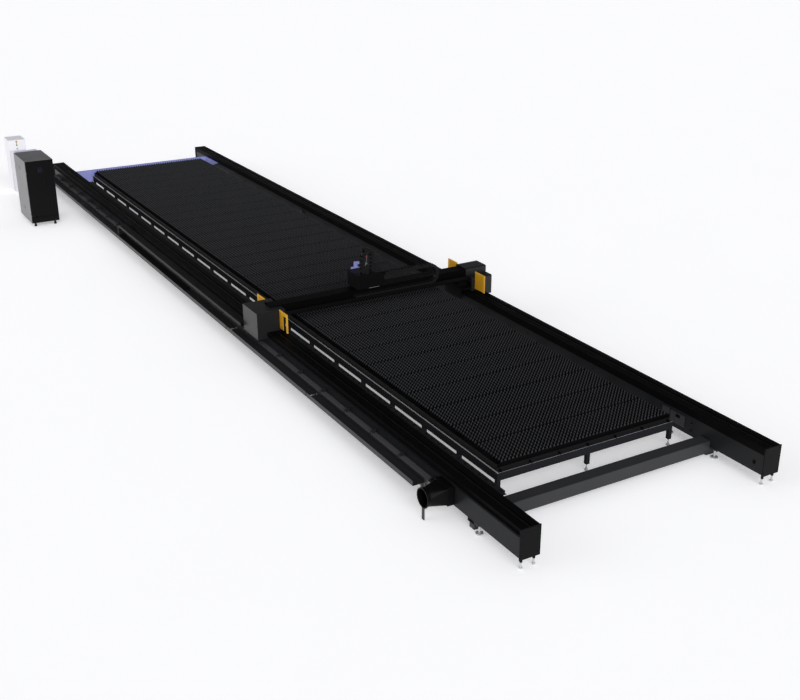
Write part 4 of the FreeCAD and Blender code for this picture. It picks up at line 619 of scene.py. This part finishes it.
# %% Bake the runs in place
for run, node, fixed, moving, axis, clamp_moves in (
        (long_lower, "long_chain_lower_run", "machine", "gantry", 1, False),
        (long_upper, "long_chain_upper_run", "machine", "gantry", 1, True),
        (beam_lower, "beam_chain_lower_run", "gantry", "cross_carriage", 0, False),
        (beam_upper, "beam_chain_upper_run", "gantry", "cross_carriage", 0, True),
        (bow_fixed, "bow_fixed_leg", "cross_carriage", "z_carrier", 2, False),
        (bow_moving, "bow_moving_leg", "cross_carriage", "z_carrier", 2, True)):
    low, high = span(node)
    middle = (low + high) / 2
    clamp, meets = middle.copy(), middle.copy()
    clamp[axis], meets[axis] = low[axis], high[axis]
    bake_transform(run)

# %% Bends
CHAIN_HEIGHT, BOW_HEIGHT = 0.060, 0.065


def bend(centre, radius, forward, up, count):
    """Places of count links round a half circle that bulges forward, from below to above."""
    forward, up = Vector(forward), Vector(up)
    places = []
    for k in range(count):
        angle = math.pi * ((k + 0.5) / count - 0.5)
        out = forward * math.cos(angle) + up * math.sin(angle)
        along = -forward * math.sin(angle) + up * math.cos(angle)
        turn = Matrix((along, out.cross(along), out)).transposed().to_4x4()
        places.append(Matrix.Translation(Vector(centre) + out * radius) @ turn)
    return places


def bend_piece(node, body, forward, thickness, links):
    """Links round a CAD bend; forward is the way it bulges."""
    low, high = span(node)
    forward = Vector(forward)
    up = Vector((0, 0, 1)) if not forward.z else Vector((-1, 0, 0))
    size = high - low
    spread = abs(size.dot(up))
    radius = (spread - thickness) / 2
    centre = (low + high) / 2 + forward * (abs(size.dot(forward)) / 2 - spread / 2)
    width = abs(size.dot(forward.cross(up)))
    places = bend(centre, radius, forward, up, links)
    return chain_piece(node + "_links", node, places, math.pi * radius / links, thickness, width, body)


bend_piece("long_chain_bend", "chain_roll", (0, 1, 0), CHAIN_HEIGHT, 6)
bend_piece("beam_chain_bend", "beam_chain_roll", (1, 0, 0), CHAIN_HEIGHT, 7)
bend_piece("head_bow", "bow_roll", (0, 0, 1), BOW_HEIGHT, 4)
print("bends placed")

# %% [markdown]
# ## Table skirt and slotted ledge
#
# A thin black sheet closes the gap between the frame and the slats on all four sides, and a pale strip beside
# it is a painted highlight for the light on the frame's top. Both are thin boxes, because nothing more of
# them can be seen.

# %% Skirt and painted highlight
SHEET = 0.003
SKIRT_DROP = 0.02      # how far it hangs below the frame's top at the two ends
SKIRT_LAP = 0.015      # how far it reaches past the slats' lower edge
EDGE_RISE = 0.002      # how far the pale strip stands above the frame
slats_low, slats_high = span("slats_1")[0], span("slats_4")[1]
frame_low, frame_high = span("table_frame")
frame_top = frame_high.z


def table_skirt(bm):
    """Four sheets round the slats, the long ones up to the root of the teeth."""
    low, high = slats_low, slats_high
    top, bottom = low.z + SKIRT_LAP, frame_top - SKIRT_DROP
    side_top = high.z - TOOTH_DEPTH
    box_form(bm, (low.x - SHEET, low.y, frame_top), (low.x, high.y, side_top))
    box_form(bm, (high.x, low.y, frame_top), (high.x + SHEET, high.y, side_top))
    box_form(bm, (low.x, low.y, bottom), (high.x, low.y + SHEET, top))
    box_form(bm, (low.x, high.y - SHEET, bottom), (high.x, high.y, top))


def painted_frame_highlight(bm):
    """Painted highlight on the frame's top: a pale strip along its left rail, a narrower one along its near
    end.
    """
    low, top = frame_low, frame_top + EDGE_RISE
    box_form(bm, (low.x + 0.006, low.y, frame_top), (slats_low.x - SHEET, frame_high.y, top))
    box_form(bm, (slats_low.x, low.y + 0.004, frame_top), (frame_high.x, low.y + 0.011, top))


piece("table_skirt", table_skirt, "gloss_black", "machine", material=FINISHES["skirt_black"])
# the pale strips are a painted highlight on the frame's top
piece("table_painted_frame_highlight", painted_frame_highlight, "frame_grey", "machine", material=FINISHES["painted_highlight_grey"])
print("skirt and pale edge placed")

# %% [markdown]
# The ledge inside the left beam has many more slots than its CAD solid. Slots could be cut with a
# boolean, but a ladder of two strips and short bars gives the same holes with clean faces. Under them
# lies a black sheet of painted shade, for the shade below the slots, where no light comes up.

# %% Slotted ledge
SLOT_PITCH = 0.171
SLOT_LENGTH = 0.06
SLOT_WIDTH = 0.024
LEDGE_CHAMFER = 0.08
LEDGE_SHEET = 0.006
SHADE_SHEET_LAP = 0.01     # how far the backing reaches past a slot
SHADE_SHEET_THICKNESS = 0.002


def slotted_ledge(bm):
    """Two long strips joined by a bar between every two slots, with a wall below the inner edge."""
    low, high = span("inner_ledge")
    middle = (low.x + high.x) / 2
    inner, outer = middle - SLOT_WIDTH / 2, middle + SLOT_WIDTH / 2
    floor_z = high.z - LEDGE_SHEET
    box_form(bm, (low.x, low.y, floor_z), (inner, high.y, high.z))
    strip = [(outer, low.y + LEDGE_CHAMFER * 0.5), (high.x, low.y + LEDGE_CHAMFER), (high.x, high.y),
             (outer, high.y)]
    prism_form(bm, strip, (0, 0, floor_z), (1, 0, 0), (0, 1, 0), LEDGE_SHEET)
    start = low.y + LEDGE_CHAMFER
    box_form(bm, (inner, low.y, floor_z), (outer, start, high.z))
    for k in range(int((high.y - start) / SLOT_PITCH)):
        y = start + k * SLOT_PITCH
        box_form(bm, (inner, y + SLOT_LENGTH, floor_z), (outer, min(y + SLOT_PITCH, high.y), high.z))
    box_form(bm, (low.x, low.y, low.z), (low.x + LEDGE_SHEET, high.y, floor_z))


def ledge_painted_shade_sheet(bm):
    """A black sheet of painted shade just under the slots."""
    low, high = span("inner_ledge")
    middle, floor_z = (low.x + high.x) / 2, high.z - LEDGE_SHEET
    half = SLOT_WIDTH / 2 + SHADE_SHEET_LAP
    box_form(bm, (middle - half, low.y + LEDGE_CHAMFER, floor_z - SHADE_SHEET_THICKNESS),
             (middle + half, high.y, floor_z))


piece("slotted_ledge", slotted_ledge, "gloss_black", "machine", ["inner_ledge"],
      material=FINISHES["skirt_black"])
# painted shade: a black sheet under the slots
piece("ledge_painted_shade_sheet", ledge_painted_shade_sheet, "gloss_black", "machine", material=FINISHES["deep_black"])
print("ledge placed, a slot every", SLOT_PITCH, "m")

# %% [markdown]
# ## Gear racks and pinions
#
# The gantry drives itself along by two pinions that roll on racks. Each rack is a bar with a straight tooth
# on every pitch, and each pinion is a gear on a shaft, inside the round CAD solid that stands for it. True
# involute flanks could be drawn, but the teeth are 12.5 mm deep and seen from 20 m, so straight ones do.

# %% Racks
GEAR_PITCH = 0.01885
GEAR_DEPTH = 0.0125
RACK_DEPTH = 0.030


def toothed_racks(bm):
    low, high = span("gear_racks")
    for x, out in ((low.x, -1), (high.x, 1)):
        root, back = x - out * GEAR_DEPTH, x - out * RACK_DEPTH
        box_form(bm, (min(root, back), low.y, low.z), (max(root, back), high.y, high.z))
        for k in range(int((high.y - low.y) / GEAR_PITCH)):
            y = low.y + k * GEAR_PITCH
            tooth = [(0, y + GEAR_PITCH * 0.08), (0, y + GEAR_PITCH * 0.92),
                     (GEAR_DEPTH, y + GEAR_PITCH * 0.66), (GEAR_DEPTH, y + GEAR_PITCH * 0.34)]
            outline = [(root + out * u, v) for u, v in tooth]
            if out < 0:
                outline = outline[::-1]
            prism_form(bm, outline, (0, 0, low.z), (1, 0, 0), (0, 1, 0), high.z - low.z)


piece("toothed_racks", toothed_racks, "dark_steel", "machine", ["gear_racks"])
print("rack teeth stand every", GEAR_PITCH, "m")

# %% Turned form
def turned_form(bm, centre, axis, profile, sides=24):
    """A turned form about an axis: the profile lists (radius, height) from one end to the other."""
    turn = Vector(axis).to_track_quat("Z", "Y").to_matrix().to_4x4()
    place = Matrix.Translation(centre) @ turn
    rings = []
    for radius, height in profile:
        if radius <= 0:
            rings.append([bm.verts.new(place @ Vector((0, 0, height)))])
        else:
            rings.append([bm.verts.new(place @ Vector((radius * math.cos(2 * math.pi * k / sides),
                                                       radius * math.sin(2 * math.pi * k / sides), height)))
                          for k in range(sides)])
    for low, high in zip(rings, rings[1:]):
        for k in range(sides):
            n = k + 1
            corners = [low[k % len(low)], low[n % len(low)], high[n % len(high)], high[k % len(high)]]
            corners = list(dict.fromkeys(corners))
            if len(corners) > 2:
                bm.faces.new(corners)
    for ring, flip in ((rings[0], True), (rings[-1], False)):
        if len(ring) > 1:
            bm.faces.new(ring[::-1] if flip else ring)


print("forms for round pieces are ready")

# %% Pinions
GEAR_TEETH = 13
GEAR_FACE = 0.034
COLLAR = 0.006
SHAFT_RADIUS = 0.016


def spur_gear(node):
    """A build function for a gear on its shaft, inside a CAD pinion."""
    low, high = span(node)
    middle = (low + high) / 2
    radius = (high.x - low.x) / 2

    def build(bm):
        outline = []
        for k in range(GEAR_TEETH):
            root = radius - GEAR_DEPTH
            for part, r in ((0.1, root), (0.4, root), (0.62, radius), (0.88, radius)):
                turn = 2 * math.pi * (k + part) / GEAR_TEETH
                outline.append((r * math.cos(turn), r * math.sin(turn)))
        prism_form(bm, outline, (middle.x, middle.y, low.z), (1, 0, 0), (0, 1, 0), GEAR_FACE)
        turned_form(bm, (middle.x, middle.y, low.z + GEAR_FACE), (0, 0, 1),
                    [(SHAFT_RADIUS * 1.4, 0), (SHAFT_RADIUS * 1.4, COLLAR), (SHAFT_RADIUS, COLLAR),
                     (SHAFT_RADIUS, high.z - low.z - GEAR_FACE)])
    return build


piece("left_spur_gear", spur_gear("left_pinion"), "dark_steel", "drive_left", ["left_pinion"])
piece("right_spur_gear", spur_gear("right_pinion"), "dark_steel", "drive_right", ["right_pinion"])
print("pinions have", GEAR_TEETH, "teeth")

# %% [markdown]
# ## Screws and nuts
#
# Screw heads, nuts and short sleeves are all turned forms that stand on a face, so one function sets a row of
# them in one piece. Threads would never show. The stems of the levelling feet carry lock nuts.

# %% Lock nuts
def heads(name, places, axis, radius, height, slot, body, sides=6):
    """Screw heads or nuts at the given places, standing up along the axis."""
    def build(bm):
        for place in places:
            profile = [(radius, 0), (radius, height * 0.75), (radius * 0.86, height)]
            turned_form(bm, Vector(place), axis, profile, sides)
    return piece(name, build, slot, body)


TUBE = 0.06
LEG_ROWS = 21
LEG_COLUMNS = 3
NUT_RADIUS, NUT_HEIGHT = 0.015, 0.012
leg_places = [(frame_low.x + TUBE / 2 + (frame_high.x - frame_low.x - TUBE) * i / (LEG_COLUMNS - 1),
               frame_low.y + TUBE / 2 + (frame_high.y - frame_low.y - TUBE) * k / (LEG_ROWS - 1),
               frame_low.z - NUT_HEIGHT)
              for i in range(LEG_COLUMNS) for k in range(LEG_ROWS)]
heads("table_lock_nuts", leg_places, (0, 0, 1), NUT_RADIUS, NUT_HEIGHT, "chrome", "machine")
print("lock nuts:", len(leg_places))

# %% [markdown]
# Screws show on the end plates, the covers, the right beam's inner wall and the duct's flanges. Most are
# burnished black. The small feet at the beams' ends stand in black sleeves. Most rows are set from the
# solid that they sit on, so that they stay on its face.

# %% End screws and foot sleeves
BEAM_MIDDLE = 2.108
END_SCREWS = (-0.13, 0.13)
END_HEIGHTS = (0.21, 0.385, 0.56)
SLEEVE_RADIUS, SLEEVE_HEIGHT = 0.020, 0.07
end_low, end_high = span("bed_end_plates")
near_screws = [Vector((at(side * BEAM_MIDDLE + dx, 0, 0).x, end_low.y, z))
               for side in (-1, 1) for dx in END_SCREWS for z in END_HEIGHTS]
far_screws = [Vector((place.x, end_high.y, place.z)) for place in near_screws]
heads("near_end_screws", near_screws, (0, -1, 0), 0.011, 0.006, "dark_steel", "machine", 12)
heads("far_end_screws", far_screws, (0, 1, 0), 0.011, 0.006, "dark_steel", "machine", 12)

beams_low, beams_high = span("bed_beams")
foot_y = (beams_high.y - beams_low.y) / 2 - 0.031
sleeves = [at(side * BEAM_MIDDLE + step, way * foot_y, beams_low.z - SLEEVE_HEIGHT)
           for side in (-1, 1) for step in (-0.1, 0.1) for way in (-1, 1)]
heads("end_foot_sleeves", sleeves, (0, 0, 1), SLEEVE_RADIUS, SLEEVE_HEIGHT, "gloss_black", "machine", 16)
print("end screws:", len(near_screws) + len(far_screws), " sleeves:", len(sleeves))

# %% Cover screws
COVER_INSET = 0.03
LEFT_HEIGHTS = (0.53, 0.734, 0.94)
RIGHT_HEIGHTS = (0.53, 0.68, 0.83)
cover_low, cover_high = span("left_cover")
left_screws = [(cover_low.x, y, z) for y in (cover_low.y + COVER_INSET, cover_high.y - COVER_INSET)
               for z in LEFT_HEIGHTS]
heads("left_cover_screws", left_screws, (-1, 0, 0), 0.008, 0.003, "dark_steel", "gantry", 12)
right_low, right_high = span("right_covers")
right_screws = [(right_high.x, y, z) for y in (right_low.y + COVER_INSET, right_high.y - COVER_INSET)
                for z in RIGHT_HEIGHTS]
heads("right_cover_screws", right_screws, (1, 0, 0), 0.008, 0.003, "dark_steel", "gantry", 12)
print("cover screws:", len(left_screws) + len(right_screws))

# %% Wall bolts
WALL = 1.9625          # inner wall of the right beam, from the middle of the bed
BOLT_START, BOLT_PITCH = -9.26, 1.852
wall_dots = [at(WALL, BOLT_START + BOLT_PITCH * k, z) for k in range(11) for z in (0.30, 0.40)]
heads("wall_bolts", wall_dots, (-1, 0, 0), 0.014, 0.008, "dark_steel", "machine")
print("wall bolts:", len(wall_dots))

# %% [markdown]
# On the same wall sit blank plates over cable outlets, one opening drawn as a black box of painted shade,
# and the bolts beside them. They are flat boxes of a few millimetres with a softened edge, set where the
# photograph shows them.

# %% Wall plates
# near end, far end, bottom, top and how far it stands out, from the middle of the bed
PLATES = ((-9.272, -9.114, 0.273, 0.448, 0.010), (-9.605, -9.290, 0.245, 0.436, 0.006),
          (3.800, 3.906, 0.360, 0.430, 0.030), (10.26, 10.32, 0.200, 0.470, 0.012))


def wall_plates(bm):
    """Plates on the right beam's inner wall."""
    for y0, y1, z0, z1, proud in PLATES:
        box_form(bm, at(WALL - proud, y0, z0), at(WALL, y1, z1), 0.002)


def wall_opening_painted_shade(bm):
    """Black boxes of painted shade for an outlet opening on the second plate, and a smaller one near the end.
    """
    box_form(bm, at(1.9505, -9.498, 0.361), at(1.9565, -9.415, 0.410), 0.002)
    box_form(bm, at(1.9605, -11.032, 0.286), at(WALL, -10.985, 0.346))


piece("wall_plates", wall_plates, "frame_grey", "machine")
# painted shade: black boxes stand for the dark outlet openings
piece("wall_opening_painted_shade", wall_opening_painted_shade, "gloss_black", "machine", material=FINISHES["deep_black"])
extra_bolts = [at(WALL, y, z)
               for y, z in ((-9.096, 0.415), (-9.145, 0.466), (-9.747, 0.39), (-9.747, 0.264))]
heads("wall_plate_bolts", extra_bolts, (-1, 0, 0), 0.018, 0.014, "dark_steel", "machine", 12)
print("plates:", len(PLATES), " bolts beside them:", len(extra_bolts))

# %% Flange screws
RIB_PITCH = 0.84
RIBS = 24
RIB_INSET, RIB_HEIGHT = 0.02, 0.352
rib_low = span("duct_flanges")[0]
rib_places = [(rib_low.x + RIB_INSET, rib_low.y + RIB_PITCH * k, RIB_HEIGHT) for k in range(RIBS)]
heads("duct_flange_screws", rib_places, (0, -1, 0), 0.006, 0.004, "bare_steel", "machine")
print("flange screws:", len(rib_places))

# %% [markdown]
# ## Guard plates
#
# The yellow guards stand in front of and behind the carriages. Each has a folded rim along the top and
# down the outer end, a little proud of the plate. A fold could be modelled round the whole plate, but two
# strips on each face show the same edge.

# %% Guard rims
RIM_PROUD = 0.004
RIM_TOP = 0.02
RIM_SIDE = 0.05
GUARD_SHEET = 0.008
ROOT_FROM_MIDDLE = 0.32


def guard_rims(bm):
    """Strips along the top and the outer end of all four guards."""
    low, high = span("guard_plates")
    gantry_y = (low.y + high.y) / 2
    thick = GUARD_SHEET
    for x in (low.x, high.x - thick):
        for outer_y, way in ((low.y, -1), (high.y, 1)):
            root_y = gantry_y + way * ROOT_FROM_MIDDLE
            inner_y = outer_y - way * RIM_SIDE
            for a, b in ((x - RIM_PROUD, x), (x + thick, x + thick + RIM_PROUD)):
                box_form(bm, (a, min(outer_y, root_y), high.z - RIM_TOP), (b, max(outer_y, root_y), high.z))
                box_form(bm, (a, min(outer_y, inner_y), low.z), (b, max(outer_y, inner_y), high.z - RIM_TOP))


# the rims wear a lighter yellow as a painted highlight on the fold
piece("guard_rims", guard_rims, "yellow", "gantry", material=FINISHES["yellow_rim_painted_highlight"])
print("guard rims placed")

# %% [markdown]
# ## On the head
#
# Beside the cutting head's upper end stands a thin sensor rod with a red cap, held by a clamp. A steel-grey
# blank strip sits on the front of the head's cover, near its lower edge. All are turned forms and boxes, as
# the real ones are turned and milled.

# %% Sensor rod, strip and screws
ROD_FOOT, ROD_LENGTH = 1.30, 0.16
CLAMP_FOOT, CLAMP_HEIGHT = 1.315, 0.018
STRIP = (-0.168, 0.06, 1.011, 1.021)   # left, right, bottom, top
ROD_X, ROD_Y = at(0.045, -3.036, 0).xy
head_low, head_high = span("head_housing")
cutter_low, cutter_high = span("cutting_head")


def rod(bm):
    turned_form(bm, (ROD_X, ROD_Y, ROD_FOOT), (0, 0, 1), [(0.006, 0), (0.006, ROD_LENGTH)], 12)


def rod_cap(bm):
    turned_form(bm, (ROD_X, ROD_Y, ROD_FOOT + ROD_LENGTH), (0, 0, 1),
                [(0.009, 0), (0.009, 0.018), (0.006, 0.022)], 16)


def rod_clamp(bm):
    middle = (cutter_low.x + cutter_high.x) / 2
    turned_form(bm, (middle, ROD_Y, CLAMP_FOOT), (0, 0, 1), [(0.030, 0), (0.030, CLAMP_HEIGHT)], 24)
    box_form(bm, (middle, ROD_Y - 0.010, CLAMP_FOOT),
             (ROD_X + 0.012, ROD_Y + 0.010, CLAMP_FOOT + CLAMP_HEIGHT), 0.002)


def blank_strip(bm):
    left, right, bottom, top = STRIP
    box_form(bm, (at(left, 0, 0).x, head_low.y - 0.002, bottom), (at(right, 0, 0).x, head_low.y, top), 0.0008)


piece("sensor_rod", rod, "bare_steel", "z_carrier")
piece("sensor_cap", rod_cap, "red_plastic", "z_carrier")
piece("sensor_clamp", rod_clamp, "cast", "z_carrier")
piece("blank_strip", blank_strip, "bare_steel", "cross_carriage")
head_screws = [(x, head_low.y, z) for x in (head_low.x + 0.02, head_high.x - 0.02)
               for z in (head_low.z + 0.02, head_high.z - 0.02)]
heads("head_screws", head_screws, (0, -1, 0), 0.006, 0.003, "dark_steel", "cross_carriage", 12)
print("head details placed")

# %% [markdown]
# ## Cabinets
#
# Each signal lamp is a smooth, domed lens of its own colour. The real one is moulded; here one profile is
# turned about the lens's axis, which gives the same dome.

# %% Lenses
lamps_low, lamps_high = span("signal_lamps")
lamp_x = (lamps_low.x + lamps_high.x) / 2
LENS = 0.021
LENSES = (("red_lens", 1.402, "lamp_plastic"), ("yellow_lens", 1.356, "yellow_lamp"),
          ("green_lens", 1.310, "green_lamp"))
for name, z, colour in LENSES:
    def lens(bm):
        depth = lamps_high.y - lamps_low.y
        turned_form(bm, (lamp_x, lamps_high.y, z), (0, -1, 0),
                    [(LENS, 0), (LENS, depth * 0.55), (LENS * 0.9, depth * 0.8), (LENS * 0.55, depth * 0.97),
                     (0, depth)], 24)
    nodes = ["signal_lamps"] if name == "red_lens" else ()
    piece(name, lens, "lamp_plastic", "machine", nodes, smooth=True, material=FINISHES[colour])
print("lenses:", len(LENSES))

# %% [markdown]
# The power cabinet has a bezel round its screen, plugs, a seam over the kick plate, vents in the side away
# from the camera and two fan grilles on the cooler behind it. Real vents are pressed out of the sheet; thin
# blades and rings on its face look the same without cutting it.

# %% Trim of the power cabinet
BEZEL = 0.012
VENTS, VENT_PITCH = 12, 0.035
PLUG_HEIGHTS = (1.34, 0.34)
SEAM_BOTTOM, SEAM_TOP, LATCH_TOP = 0.236, 0.242, 0.276
screen_low, screen_high = span("cabinet_screen")
cooler_low, cooler_high = span("cabinet_cooler")
cabinet_low, cabinet_high = span("cabinet_body")
door_low, door_high = span("cabinet_door")


def bezel(bm):
    low, high, edge = screen_low, screen_high, BEZEL
    front = low.y - 0.002
    for a, b in (((low.x, low.z), (low.x + edge, high.z)), ((high.x - edge, low.z), (high.x, high.z)),
                 ((low.x + edge, low.z), (high.x - edge, low.z + edge)),
                 ((low.x + edge, high.z - edge), (high.x - edge, high.z))):
        box_form(bm, (a[0], front, a[1]), (b[0], low.y, b[1]))


def grilles(bm):
    x = (cooler_low.x + cooler_high.x) / 2
    for z in (cooler_low.z + 0.16, cooler_high.z - 0.16):
        for radius in (0.03, 0.06, 0.09, 0.12):
            inner, outer = radius - 0.003, radius + 0.003
            turned_form(bm, (x, cooler_high.y, z), (0, 1, 0),
                        [(inner, 0), (inner, 0.006), (outer, 0.006), (outer, 0)], 40)


def vents(bm):
    for k in range(VENTS):
        z = 0.35 + k * VENT_PITCH
        blade = [(0, 0), (0.012, 0.004), (0.012, 0.007), (0, 0.018)]
        prism_form(bm, blade, (cabinet_high.x, cabinet_high.y - 0.2, z), (1, 0, 0), (0, 0, 1), 0.26)


def side_marks(bm):
    """Two blank plugs on the cabinet's left side, one high and one low."""
    for z in PLUG_HEIGHTS:
        box_form(bm, (cabinet_low.x - 0.002, cabinet_low.y + 0.62, z),
                 (cabinet_low.x, cabinet_low.y + 0.66, z + 0.08))


def door_seam(bm):
    """The seam above the door's kick plate, with a small latch at its left."""
    front = door_low.y
    box_form(bm, (door_low.x + 0.03, front - 0.001, SEAM_BOTTOM), (door_high.x - 0.03, front, SEAM_TOP))
    box_form(bm, (door_low.x + 0.12, front - 0.004, SEAM_BOTTOM),
             (door_low.x + 0.15, front, LATCH_TOP), 0.001)


piece("side_plugs", side_marks, "dark_steel", "machine")
piece("door_seam", door_seam, "dark_steel", "power_door", material=FINISHES["deep_black"])
piece("screen_bezel", bezel, "dark_steel", "power_door")
piece("cooler_grilles", grilles, "dark_steel", "machine")
piece("side_vents", vents, "gloss_black", "machine")
print("cabinet details placed")
